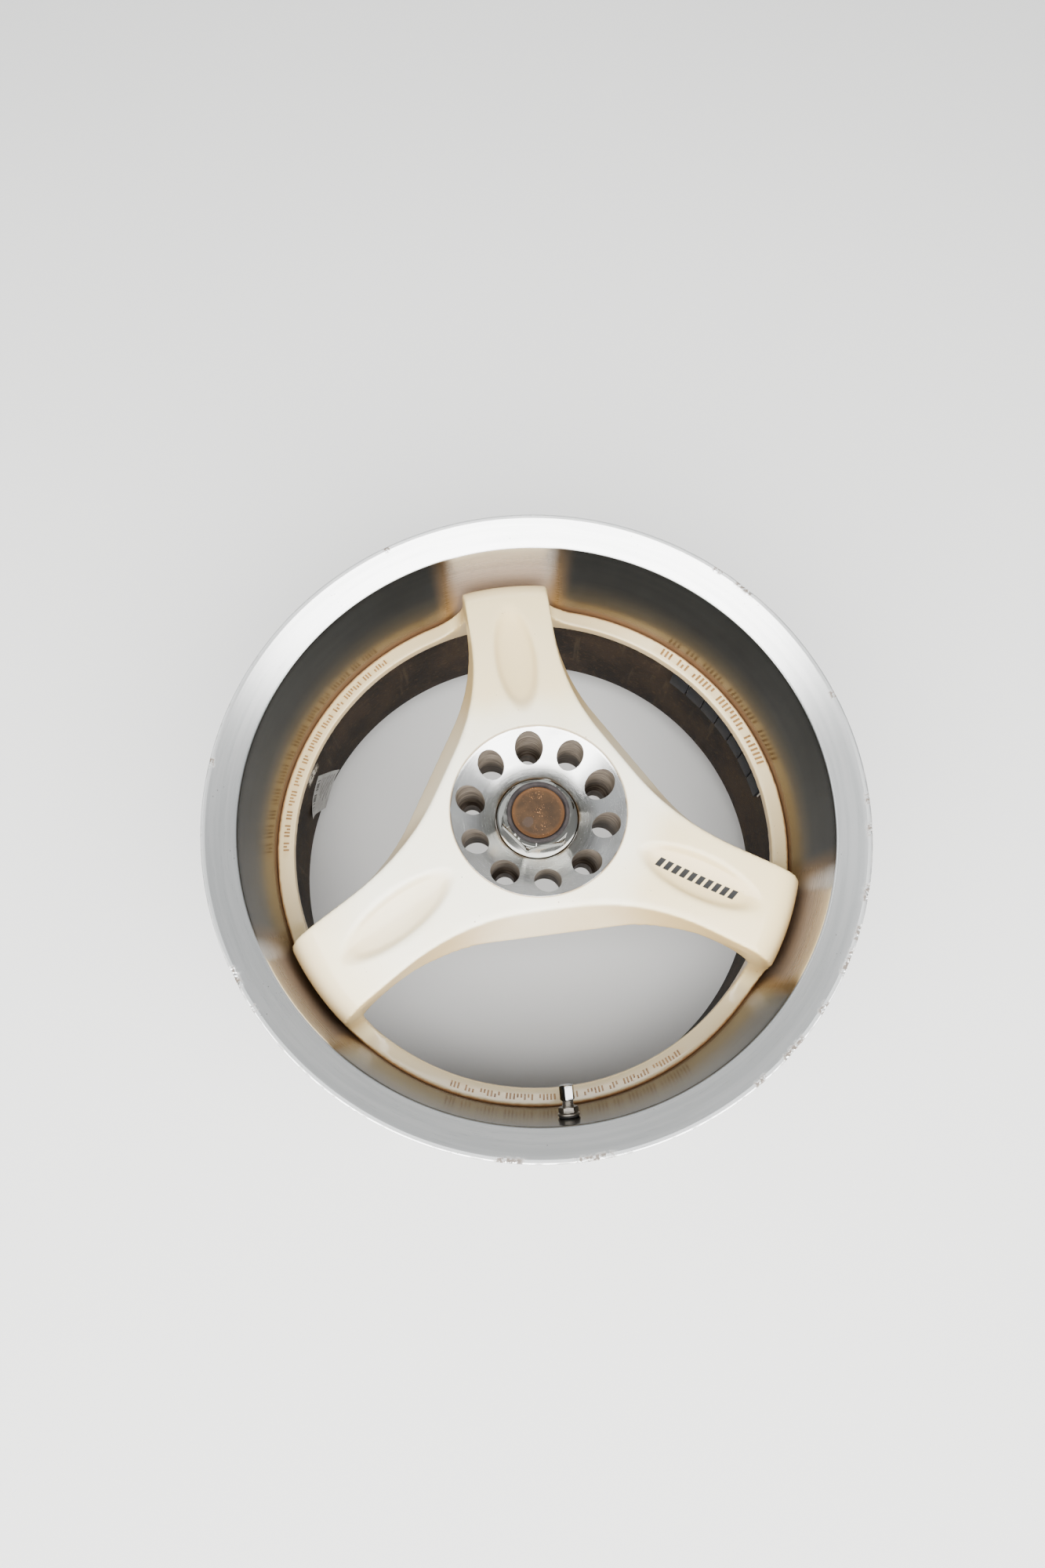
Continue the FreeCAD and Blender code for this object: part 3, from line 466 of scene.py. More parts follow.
def tarnished_badge():
    """Brown tarnished disc with a warmer rim and small bright corrosion specks."""
    g = Graph("tarnished_badge", Specular_IOR_Level=0.2)
    broad = g.noise(85.0, 5.0, 0.6)
    fine = g.noise(900.0, 4.0, 0.7)
    g.ground(g.step(broad, 0.34, 0.68), (46, 33, 20), (62, 44, 26))
    rim = g.step(g.radius, 0.0150, 0.0185)
    g.stain(rim, 0.5, 88, 56, 27)
    cool = g.times(g.blot((-8.0, -6.0, 53.8), 4.5, broad), 0.6)
    g.stain(cool, 1, 58, 48, 42)
    column = g.times(g.band(g.x, -0.004, 0.0045, 0.002), g.step(g.cells(850.0), 0.24, 0.12),
                     g.step(g.noise(160.0, 2.0), 0.45, 0.55))
    specks = g.most(g.times(g.step(g.cells(1300.0), 0.15, 0.07), g.step(fine, 0.5, 0.6)), column)
    g.stain(specks, 0.8, 212, 150, 96)
    dark = g.times(g.step(g.cells(1000.0, g.vector(g.plus(g.x, 0.3), g.y, g.z)), 0.16, 0.08), 0.6)
    g.stain(dark, 1, 72, 52, 38)
    normal = g.bump(g.plus(fine, g.times(specks, 1.5)), 0.30, 0.0001)
    return g.done(g.lerp(fine, 0.55, 0.70), normal, g.lerp(specks, 0.12, 0.02))


def dull_plastic(name, first, second, rough):
    """Rubber, plastic or foam with fine grain and dust."""
    g = Graph(name)
    broad = g.noise(60.0, 4.0)
    fine = g.noise(1400.0, 4.0, 0.6)
    g.ground(g.step(broad, 0.35, 0.70), first, second)
    dust = g.times(g.step(fine, 0.52, 0.70), 0.35)
    g.stain(dust, 1, 132, 120, 104)
    return g.done(g.lerp(fine, rough - 0.08, rough + 0.08), g.bump(fine, 0.25, 0.00008))


def weight_coating():
    """Dark coated steel weights, brown with dust."""
    g = Graph("weight_coating", Specular_IOR_Level=0.2)
    broad = g.noise(70.0, 4.0, 0.6)
    fine = g.noise(800.0, 4.0, 0.7)
    g.ground(g.step(broad, 0.32, 0.66), (15, 17, 23), (26, 24, 24))
    g.stain(g.step(fine, 0.55, 0.70), 0.4, 52, 44, 36)
    return g.done(g.lerp(fine, 0.42, 0.66), g.bump(fine, 0.3, 0.0001))


def printed_label():
    """Greyed paper with plain printed bars and no writing."""
    g = Graph("printed_label")
    centre, tilt, wall = math.radians(LABEL_ANGLE), math.radians(LABEL_TILT), WELL * MM
    side = g.plus(g.times(g.x, -math.sin(centre)), g.times(g.y, math.cos(centre)))
    arc = g.times(g.math("ARCSINE", g.times(side, 1 / wall)), wall)
    height = g.plus(g.z, -LABEL_Z * MM)
    u = g.plus(g.times(arc, math.cos(tilt)), g.times(height, math.sin(tilt)))
    v = g.plus(g.times(arc, -math.sin(tilt)), g.times(height, math.cos(tilt)))
    broad = g.noise(70.0, 4.0)
    fine = g.noise(1100.0, 3.0)
    g.ground(g.step(broad, 0.35, 0.7), (160, 159, 156), (136, 134, 130))
    line = g.times(v, 1 / 0.0042)
    bars = g.band(g.math("FRACT", line), 0.30, 0.62, 0.04)
    per_line = g.vector(0.0, 0.0, g.times(g.math("FLOOR", line), 7.31))
    lengths = g.step(g.noise(1.0, 0.0, 0.5, per_line), 0.25, 0.75)
    row = g.math("LESS_THAN", u, g.lerp(lengths, -0.004, 0.014))
    field = g.times(g.band(u, -0.0155, 0.0155, 0.0002), g.band(v, -0.021, 0.010, 0.0002))
    block = g.times(g.band(u, -0.0145, 0.0145, 0.0002), g.band(v, 0.0145, 0.0215, 0.0002))
    stripes = g.step(g.noise(1.0, 0.0, 0.5, g.vector(g.times(u, 900.0), 3.7, 1.3)), 0.49, 0.53)
    ink = g.most(g.times(bars, row, field), g.times(block, stripes))
    g.stain(ink, 0.85, 28, 28, 29)
    g.stain(g.step(fine, 0.55, 0.7), 0.3, 128, 112, 90)
    return g.done(g.lerp(fine, 0.55, 0.72), g.bump(fine, 0.12, 0.00005))


def weld_metal():
    """Rippled weld, stained brown on its outside."""
    g = Graph("weld_metal", metallic=1.0)
    fine = g.noise(520.0, 4.0, 0.6)
    broad = g.noise(40.0, 4.0)
    g.ground(g.step(broad, 0.40, 0.62), (156, 148, 134), (112, 88, 62))
    return g.done(g.lerp(fine, 0.38, 0.6), g.bump(fine, 0.5, 0.0003), g.lerp(broad, 0.9, 0.4))


def pale_floor():
    """Plain pale studio floor with the faintest mottling."""
    g = Graph("pale_floor")
    broad = g.noise(1.3, 3.0)
    fine = g.noise(260.0, 3.0)
    g.ground(broad, (214, 214, 212), (222, 221, 218))
    return g.done(g.lerp(fine, 0.62, 0.72), g.bump(fine, 0.04, 0.0002))


def mark_paint():
    """Grimy tan paint on the raised marks, darkest round their feet."""
    g = Graph("mark_paint", Coat_Weight=0.2, Coat_Roughness=0.15)
    broad = g.noise(40.0, 4.0)
    fine = g.noise(500.0, 3.0)
    g.ground(g.step(broad, 0.35, 0.7), (150, 114, 64), (130, 94, 50))
    low = g.step(g.z, -0.01955, -0.01982)
    g.stain(g.most(low, g.step(fine, 0.55, 0.68)), 0.8, 84, 54, 26)
    return g.done(g.lerp(fine, 0.36, 0.52), g.bump(fine, 0.2, 0.0001))


M = {
    "marks": mark_paint(),
    "rim": polished_rim(),
    "well": dusty_well(),
    "tyre_side": machined_tyre_side(),
    "paint": cream_paint(),
    "hub": turned_hub(),
    "chrome": chrome("cap_chrome_plate", (126, 126, 122), 0.08, 0.6),
    "valve_chrome": chrome("valve_chrome_plate", (150, 150, 149), 0.10, 0.15),
    "cup": dark_metal("cup_metal", (36, 32, 32), (50, 45, 44), 0.1, 0.6, 0.2),
    "badge": tarnished_badge(),
    "valve": dark_metal("valve_nickel", (98, 94, 88), (136, 130, 120), 0.9, 0.30),
    "brass": dark_metal("core_brass_metal", (170, 138, 74), (196, 164, 96), 0.95, 0.30),
    "spring": dark_metal("spring_wire_steel", (120, 120, 120), (160, 158, 154), 0.95, 0.28),
    "rubber": dull_plastic("seal_rubber_black", (30, 29, 28), (42, 40, 38), 0.62),
    "tape": dull_plastic("foam_tape_white", (214, 211, 202), (196, 190, 178), 0.78),
    "weights": weight_coating(),
    "label": printed_label(),
    "weld": weld_metal(),
}


# ---- mesh helpers
def add_object(name, mesh, *materials):
    piece = bpy.data.objects.new(name, mesh)
    bpy.context.scene.collection.objects.link(piece)
    for material in materials:
        mesh.materials.append(material)
    return piece


def mesh_of(name, points, faces, kinds=None):
    """A mesh from points in mm."""
    mesh = bpy.data.meshes.new(name)
    mesh.from_pydata([tuple(c * MM for c in p) for p in points], [], faces)
    if kinds is not None:
        mesh.polygons.foreach_set("material_index", kinds)
    mesh.update()
    return mesh


def facing_out(mesh):
    """Turns every face of a closed mesh outwards."""
    flow = bmesh.new()
    flow.from_mesh(mesh)
    bmesh.ops.recalc_face_normals(flow, faces=flow.faces)
    flow.to_mesh(mesh)
    flow.free()
    return mesh


def smooth(piece, degrees):
    """Smooth shading with sharp edges above that angle."""
    mesh = piece.data
    mesh.polygons.foreach_set("use_smooth", [True] * len(mesh.polygons))
    mesh.set_sharp_from_angle(angle=math.radians(degrees))
    mesh.update()
    return piece


def applied(piece):
    """Replaces a piece's mesh with what its modifiers make of it."""
    graph = bpy.context.evaluated_depsgraph_get()
    graph.update()
    made = bpy.data.meshes.new_from_object(piece.evaluated_get(graph))
    old = piece.data
    piece.modifiers.clear()
    piece.data = made
    bpy.data.meshes.remove(old)
    return piece


def drop(*pieces):
    for piece in pieces:
        mesh = piece.data
        bpy.data.objects.remove(piece)
        bpy.data.meshes.remove(mesh)


def cut(piece, cutters):
    """Cuts closed tools out of a closed piece."""
    for index, tool in enumerate(cutters):
        step = piece.modifiers.new(f"cut_{index}", "BOOLEAN")
        step.operation = "DIFFERENCE"
        step.solver = "MANIFOLD"
        step.object = tool
    applied(piece)
    drop(*cutters)
    return piece


def bevelled(piece, width, segments, degrees):
    """Rounds the edges above that angle. Width in mm."""
    step = piece.modifiers.new("edges", "BEVEL")
    step.width = width * MM
    step.segments = segments
    step.limit_method = "ANGLE"
    step.angle_limit = math.radians(degrees)
    step.use_clamp_overlap = True
    step.harden_normals = False
    return applied(piece)


def fillet(before, corner, after, radius, steps):
    """Points of an arc that rounds a corner of an outline."""
    a, b = before - corner, after - corner
    la, lb = a.length, b.length
    if radius <= 0 or la < 1e-9 or lb < 1e-9:
        return [corner]
    half = a.angle(b) / 2
    nearly_straight, share = math.radians(88), 0.49
    if half > nearly_straight:
        return [corner]
    back = min(radius / math.tan(half), share * la, share * lb)
    true_radius = back * math.tan(half)
    start, end = corner + a / la * back, corner + b / lb * back
    centre = corner + (a / la + b / lb).normalized() * (true_radius / math.sin(half))
    first, last = start - centre, end - centre
    sweep = first.angle(last)
    points = []
    for i in range(steps + 1):
        t = i / steps
        s = math.sin(sweep)
        points.append(centre + first * (math.sin((1 - t) * sweep) / s) + last * (math.sin(t * sweep) / s))
    return points


def rounded(outline, steps):
    """A closed outline of (r, z, radius) with its corners rounded, as (r, z, kind)."""
    count = len(outline)
    result = []
    for i, corner in enumerate(outline):
        here = Vector(corner[:2])
        before, after = Vector(outline[i - 1][:2]), Vector(outline[(i + 1) % count][:2])
        radius = corner[2] if len(corner) > 2 else 0
        kind = corner[3] if len(corner) > 3 else 0
        for p in fillet(before, here, after, radius, steps):
            result.append((p.x, p.y, kind))
    return result


def refined(outline, longest):
    """Splits the long runs of a closed outline."""
    result = []
    for i, (r, z, kind) in enumerate(outline):
        nr, nz, _ = outline[(i + 1) % len(outline)]
        pieces = max(1, math.ceil(math.hypot(nr - r, nz - z) / longest))
        for k in range(pieces):
            t = k / pieces
            result.append((r + (nr - r) * t, z + (nz - z) * t, kind))
    return result


def lathe(name, outline, angles=None, segments=96, place=None, wobble=None, materials=()):
    """Turns a closed outline about the axis. A point on the axis closes into one vertex."""
    if angles is None:
        angles = [TURN * i / segments for i in range(segments)]
    points, rings = [], []
    for r, z, _ in outline:
        if abs(r) < 1e-6:
            rings.append([len(points)] * len(angles))
            points.append((0.0, 0.0, z))
            continue
        ring = []
        for a in angles:
            rr, zz = wobble(r, z, a) if wobble else (r, z)
            ring.append(len(points))
            points.append((rr * math.cos(a), rr * math.sin(a), zz))
        rings.append(ring)
    faces, kinds = [], []
    count, turns = len(outline), len(angles)
    for i in range(count):
        first, second = rings[i], rings[(i + 1) % count]
        if first[0] == first[1] and second[0] == second[1]:
            continue
        for j in range(turns):
            k = (j + 1) % turns
            corners = [first[j], first[k], second[k], second[j]]
            face = [c for n, c in enumerate(corners) if c != corners[n - 1]]
            faces.append(face)
            kinds.append(outline[i][2])
    mesh = facing_out(mesh_of(name, points, faces, kinds))
    if place is not None:
        mesh.transform(place)
    return add_object(name, mesh, *materials)


def turned(name, outline, steps, segments, material, sharp, place=None):
    """A smooth-shaded turned piece with rounded corners."""
    profile = rounded(outline, steps)
    return smooth(lathe(name, profile, segments=segments, place=place, materials=(M[material],)), sharp)


def plain(outline):
    return [(p[0], p[1], 0) for p in outline]


def drill(name, radius, low, high, turns, place=None):
    """A closed cylinder between two heights, to cut with."""
    outline = plain([(0, low), (radius, low), (radius, high), (0, high)])
    return lathe(name, outline, segments=turns, place=place)


def hexagonal_cutter(across, low, high, turn, place=None):
    """A hexagonal tube that leaves flats across that width between two heights."""
    inner = across / math.sqrt(3)
    corners = [math.radians(turn + 30 + 60 * k) for k in range(6)]
    outline = plain([(inner, low), (inner * 2, low), (inner * 2, high), (inner, high)])
    return lathe("hexagonal_cutter", outline, corners, place=place)


def hexagonal(piece, across, low, high, turn, edge, place=None):
    """Cuts six flats on a turned piece and rounds their edges."""
    cut(piece, [hexagonal_cutter(across, low, high, turn, place)])
    return bevelled(piece, edge, 2, 26)


def settle(piece, body, slot_name, *nodes):
    """Says which body a piece rides on and hides the CAD nodes it stands for; its slot_name is not used."""
    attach(piece, body)
    if nodes:
        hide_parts(*nodes)
    return piece


# ---- barrel
def kerbed(r, z, a):
    """Moves points of the flange's front edge in where a kerb has scraped it."""
    if z < FRONT - 7 or r < FLANGE - 4.2:
        return r, z
    degrees = math.degrees(a) % 360
    depth = 0.0
    for middle, half, deep in KERB_MARKS:
        off = abs(degrees - middle) / half
        if off < 1:
            grain = noise.noise(Vector((degrees * 3.1, z * 0.9, r * 0.9)))
            depth += deep * (1 - off * off) * max(0.0, 0.45 + 0.9 * grain)
    edge = max(0.0, 1 - math.hypot(r - FLANGE, z - FRONT) / 4.0)
    inward = depth * edge * 0.7
    return r - inward, z - inward


def barrel_angles():
    """Directions round the barrel, closer together at the kerb marks."""
    step, fine = 0.5, 0.12
    found = {round(i * step, 3) for i in range(int(360 / step))}
    for middle, half, _ in KERB_MARKS:
        n = int(half * 1.15 / fine)
        found |= {round((middle + i * fine) % 360, 3) for i in range(-n, n + 1)}
    kept = []
    for degrees in sorted(found):
        if not kept or degrees - kept[-1] > 0.05:
            kept.append(degrees)
    return [math.radians(d) for d in kept]


def valve_frame():
    """Matrix of the valve's seat on the wall, its axis along local Z, in metres."""
    share = (VALVE_Z - WALL_FOOT_Z) / (LIP_FOOT_Z - WALL_FOOT_Z)
    wall = WALL_FOOT + (LIP_FOOT - WALL_FOOT) * share
    tilt = math.radians(VALVE_TILT)
    inward = Vector((0, math.cos(tilt), math.sin(tilt)))
    side = Vector((1, 0, 0))
    turn = Matrix((side, inward.cross(side), inward)).transposed().to_4x4()
    round_axis = Matrix.Rotation(math.radians(VALVE_TURN), 4, "Z")
    return round_axis @ Matrix.Translation(Vector((0, -wall, VALVE_Z)) * MM) @ turn


ON_VALVE = valve_frame()


def barrel():
    """Outer barrel: polished street side, dusty inside, machined under the tyre."""
    shown, dust, tyre = 0, 1, 2
    f, r = FRONT, REAR
    outline = [
        (LIP_FOOT, LIP_FOOT_Z, 4, shown), (LIP_FOOT + 1.6, LIP_FOOT_Z + 0.8, 3, shown),
        (FLANGE - 3, f - 0.5, 2.2, shown), (FLANGE - 1.2, f, 1.0, shown), (FLANGE, f, 1.3, shown),
        (FLANGE, f - 4, 1.0, tyre), (FLANGE - 1.6, f - 5.9, 1.5, tyre),
        (FLANGE - 6.5, f - 8.0, 5, tyre), (BEAD + 4.5, f - 12.3, 3, tyre), (BEAD, f - 14, 2.0, tyre),
        (BEAD - 1.6, f - 33.5, 1, tyre), (BEAD - 0.7, f - 36, 1, tyre), (BEAD - 0.7, f - 38, 1, tyre),
        (BEAD - 3.2, f - 42, 3, tyre), (208.9, -9.5, 3, tyre), (207.6, -20.5, 2, tyre), (207.6, -32, 3, tyre),
        (WELL_OUT, -40, 4, tyre), (WELL_OUT, -123, 4, tyre), (BEAD - 2.2, -131.5, 3, tyre),
        (BEAD - 0.7, r + 38, 1, tyre), (BEAD - 1.6, r + 33.5, 1, tyre), (BEAD, r + 14, 2, tyre),
        (BEAD + 4.5, r + 12.3, 3, tyre),
        (FLANGE - 6.5, r + 8.0, 5, tyre), (FLANGE - 1.6, r + 5.9, 1.5, tyre), (FLANGE, r + 4, 1, tyre),
        (FLANGE, r, 1.3, dust), (FLANGE - 3, r + 0.1, 1.6, dust), (BEAD - 4.4, r + 12, 2, dust),
        (BEAD - 5.4, r + 15.0, 2, dust), (BEAD - 7.2, -140, 4, dust), (WELL, WELL_END, 5, dust),
        (WELL, SHOULDER, 0.4, dust), (WALL_FOOT, SHOULDER, 0, shown), (WALL_FOOT, WALL_FOOT_Z, 1.2, shown),
    ]
    profile = refined(rounded(outline, 4), 5.0)
    piece = lathe("wheel_barrel", profile, barrel_angles(), wobble=kerbed,
                  materials=(M["rim"], M["well"], M["tyre_side"]))
    cut(piece, [drill("valve_hole", 4.15, -14, 3, 48, ON_VALVE),
                drill("spot_face", 9.0, 0.12, 7, 72, ON_VALVE),
                drill("outer_seat", 9.4, -14, -6.0, 72, ON_VALVE)])
    smooth(piece, 30)
    return settle(piece, "wheel", "barrel_aluminium", "rim_barrel")


# ---- forged disc
def deepen(mesh):
    """Sinks the oval tray on each spoke, so that its rim reads."""
    flat = np.empty(len(mesh.vertices) * 3, dtype=np.float32)
    mesh.vertices.foreach_get("co", flat)
    points = flat.reshape(-1, 3)
    facing = np.empty(len(mesh.vertices) * 3, dtype=np.float32)
    mesh.vertex_normals.foreach_get("vector", facing)
    top = (facing.reshape(-1, 3)[:, 2] > 0.3) & (points[:, 2] > 30 * MM)
    for spoke in SPOKES:
        a = math.radians(spoke)
        along = points[:, 0] * math.cos(a) + points[:, 1] * math.sin(a) - DIMPLE_R * MM
        across = points[:, 1] * math.cos(a) - points[:, 0] * math.sin(a)
        reach = np.sqrt((along / (DIMPLE_LONG * MM)) ** 2 + (across / (DIMPLE_WIDE * MM)) ** 2)
        share = np.clip((1.0 - reach) / 0.34, 0, 1)
        points[:, 2] -= top * share * share * (3 - 2 * share) * DIMPLE_DEEPER * MM
    mesh.vertices.foreach_set("co", points.reshape(-1))
    mesh.update()


def spokes_and_ring():
    """Three spokes and the ring as one soft-edged casting with a turned seat for the hub."""
    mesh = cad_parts["forged_disc"].data.copy()
    mesh.materials.clear()
    piece = add_object("forged_spokes", mesh)
    plug = drill("hub_plug", HUB_CUT + 1.6, 0, HUB_RIM_Z + 0.45, 180)
    joined = bmesh.new()
    joined.from_mesh(piece.data)
    joined.from_mesh(plug.data)
    bmesh.ops.remove_doubles(joined, verts=joined.verts, dist=1e-7)
    joined.to_mesh(piece.data)
    joined.free()
    drop(plug)
    skin = piece.modifiers.new("skin", "REMESH")
    skin.mode = "VOXEL"
    skin.voxel_size = 1.35 * MM
    soften = piece.modifiers.new("soften", "SMOOTH")
    soften.factor = 0.5
    soften.iterations = 12
    applied(piece)
    deepen(piece.data)
    piece.data.materials.clear()
    piece.data.materials.append(M["paint"])
    cut(piece, [drill("core", HUB_CUT, -4, 70, 360)])
    smooth(piece, 40)
    return settle(piece, "wheel", "disc_paint", "forged_disc")


def hole_cutter(name, angle, outline):
    a = math.radians(angle)
    place = Matrix.Translation(Vector((BOLT_CIRCLE * math.cos(a), BOLT_CIRCLE * math.sin(a), 0)) * MM)
    return lathe(name, refined(plain(outline), 6.0), segments=64, place=place)


def hub_face():
    """The turned hub with its ring of holes: five for bolts and five that save weight."""
    outline = [
        (CAP_BORE + 0.1, CAP_SEAT + 0.1, 0.5), (HUB_RIM - 0.1, HUB_RIM_Z - 0.1, 0.4),
        (HUB_CUT, HUB_RIM_Z - 0.8, 0.2), (HUB_CUT, 0.2, 0), (HUB_CUT - 0.2, 0, 0), (34.0, 0, 0),
        (32.5, 1.5, 0), (32.5, 22.0, 0), (CAP_BORE, 22.0, 0), (CAP_BORE, CAP_SEAT - 0.4, 0),
    ]
    profile = refined(rounded(outline, 3), 1.6)
    piece = lathe("hub_face", profile, segments=360, materials=(M["hub"],))
    cutters = []
    for k in range(5):
        cutters.append(hole_cutter(f"bolt_{k}", 90 + 72 * k, [
            (0, -2), (BOLT_HOLE, -2), (BOLT_HOLE, SEAT_TOP - SEAT_DEPTH), (BOLT_R - 0.4, SEAT_TOP - 0.4),
            (BOLT_R, SEAT_TOP + 0.6), (BOLT_R, 70), (0, 70)]))
        cutters.append(hole_cutter(f"light_{k}", 270 + 72 * k, [
            (0, -2), (LIGHT_BACK, -2), (LIGHT_BACK, LIGHT_FLOOR - 2), (LIGHT_BACK - 0.6, LIGHT_FLOOR - 0.6),
            (LIGHT_BACK - 2, LIGHT_FLOOR), (LIGHT_R, LIGHT_FLOOR), (LIGHT_R, 70), (0, 70)]))
    cut(piece, cutters)
    smooth(piece, 28)
    return settle(piece, "wheel", "disc_paint", "forged_disc")


def rounded_bar(points, faces, centre, along, across, up, length, width, height):
    """Adds one raised bar with a narrower top to a list of points and faces."""
    base = len(points)
    bevel = min(width, length) * 0.22
    for level, shrink in ((-0.4, 0.0), (height - bevel * 0.6, 0.0), (height, bevel)):
        for sx, sy in ((-1, -1), (1, -1), (1, 1), (-1, 1)):
            aside = along * (sx * (length / 2 - shrink)) + across * (sy * (width / 2 - shrink))
            points.append(tuple(centre + aside + up * level))
    for level in (0, 4):
        for k in range(4):
            n = (k + 1) % 4
            faces.append((base + level + k, base + level + n, base + level + 4 + n, base + level + 4 + k))
    faces.append((base + 8, base + 9, base + 10, base + 11))
    faces.append((base + 3, base + 2, base + 1, base))


def ring_marks():
    """Rows of plain raised strokes on the ring, in place of cast writing."""
    draw = random.Random(7)
    points, faces = [], []
    up = Vector((0, 0, 1))
    for start, end, middle, tall, pitch in MARK_ROWS:
        angle, left = start, draw.randint(3, 8)
        while angle < end:
            if left == 0:
                angle += pitch * 1.2
                left = draw.randint(3, 9)
                continue
            a = math.radians(angle)
            outward, round_way = Vector((math.cos(a), math.sin(a), 0)), Vector((-math.sin(a), math.cos(a), 0))
            high = tall * draw.choice((1.0, 1.0, 0.62))
            centre = outward * (middle + (tall - high) / 2 * draw.choice((-1, 1))) + up * RING_TOP
            rounded_bar(points, faces, centre, outward, round_way, up, high, 1.3 if tall < 5 else 1.8, 0.5)
            angle += pitch
            left -= 1
    piece = add_object("ring_marks", mesh_of("ring_marks", points, faces), M["marks"])
    smooth(piece, 20)
    return settle(piece, "wheel", "disc_paint")


# ---- centre cap
def cap_nut():
    """Chromed plug: round flange, hexagon, and a skirt with a groove."""
    seat, top = CAP_SEAT, HEX_TOP
    outline = [
        (17, top, 0), (25.4, top, 0.6), (27, top - 1.4, 0.4), (27, seat + 1.0, 0.7),
        (CAP_FLANGE - 1.0, seat, 0.4), (CAP_FLANGE, seat - 0.9, 0.3), (CAP_FLANGE, seat - 2, 0.2),
        (29, seat - 2, 0), (29, seat - 8, 0.2), (28.2, seat - 8.8, 0.1), (28.2, seat - 10.4, 0.1),
        (29, seat - 11.2, 0.2),
        (29, 23.5, 0.3), (28, 22, 0.2), (25, 22, 0.3), (25, seat - 2, 0.5), (17, seat + 4, 0.5),
    ]
    piece = lathe("cap_nut", rounded(outline, 3), segments=120, materials=(M["chrome"],))
    cut(piece, [hexagonal_cutter(48.0, seat + 0.6, top + 1, 36.2)])
    bevelled(piece, 0.28, 2, 24)
    smooth(piece, 26)
    return settle(piece, "centre_cap", "cap_chrome", "centre_cap_nut")


def cap_cup():
    """Dark cup with a rolled rim round the badge."""
    outline = [
        (0, HEX_TOP + 0.4, 0), (BADGE_R + 0.25, HEX_TOP + 0.4, 0.1), (BADGE_R + 0.9, CUP_TOP - 0.5, 0.4),
        (BADGE_R + 1.3, CUP_TOP, 0.4), (CUP_R - 0.5, CUP_TOP, 0.8), (CUP_R, CUP_TOP - 0.8, 0.5),
        (CUP_R, HEX_TOP + 0.15, 0.1), (CUP_R - 0.3, HEX_TOP, 0),
        (16.9, HEX_TOP, 0), (16.9, HEX_TOP - 6, 0), (0, HEX_TOP - 6, 0),
    ]
    piece = turned("cap_cup", outline, 4, 144, "cup", 34)
    settle(piece, "centre_cap", "cap_cup", "centre_cap_cup")


def cap_badge():
    """Plain tarnished disc, faintly uneven, with a soft raised rim."""
    outline = [
        (0, HEX_TOP + 0.45, 0), (BADGE_R, HEX_TOP + 0.45, 0), (BADGE_R, BADGE_TOP - 0.25, 0.15),
        (BADGE_R - 0.35, BADGE_TOP, 0.2), (BADGE_R - 1.1, BADGE_TOP - 0.05, 0.3),
        (BADGE_R - 2.0, BADGE_TOP - 0.25, 0.5), (8.0, BADGE_TOP - 0.12, 6.0), (0, BADGE_TOP - 0.05, 0),
    ]

    def uneven(r, z, a):
        if z < BADGE_TOP - 0.4:
            return r, z
        return r, z + 0.05 * noise.noise(Vector((r * math.cos(a), r * math.sin(a), 3.1)) * 0.35)

    profile = refined(rounded(outline, 3), 1.2)
    piece = lathe("cap_badge", profile, segments=120, wobble=uneven, materials=(M["badge"],))
    smooth(piece, 34)
    return settle(piece, "centre_cap", "cap_badge", "centre_cap_badge")


# ---- valve
def threaded(radius, root, low, high, pitch):
    """Outline points of parallel thread crests between two heights, from the top down."""
    points = []
    z = high
    while z - pitch > low:
        turn = ((radius, 0), (radius, 0.25), (root, 0.5), (root, 0.75))
        points += [(r, z - pitch * share, 0.05) for r, share in turn]
        z -= pitch
    return points


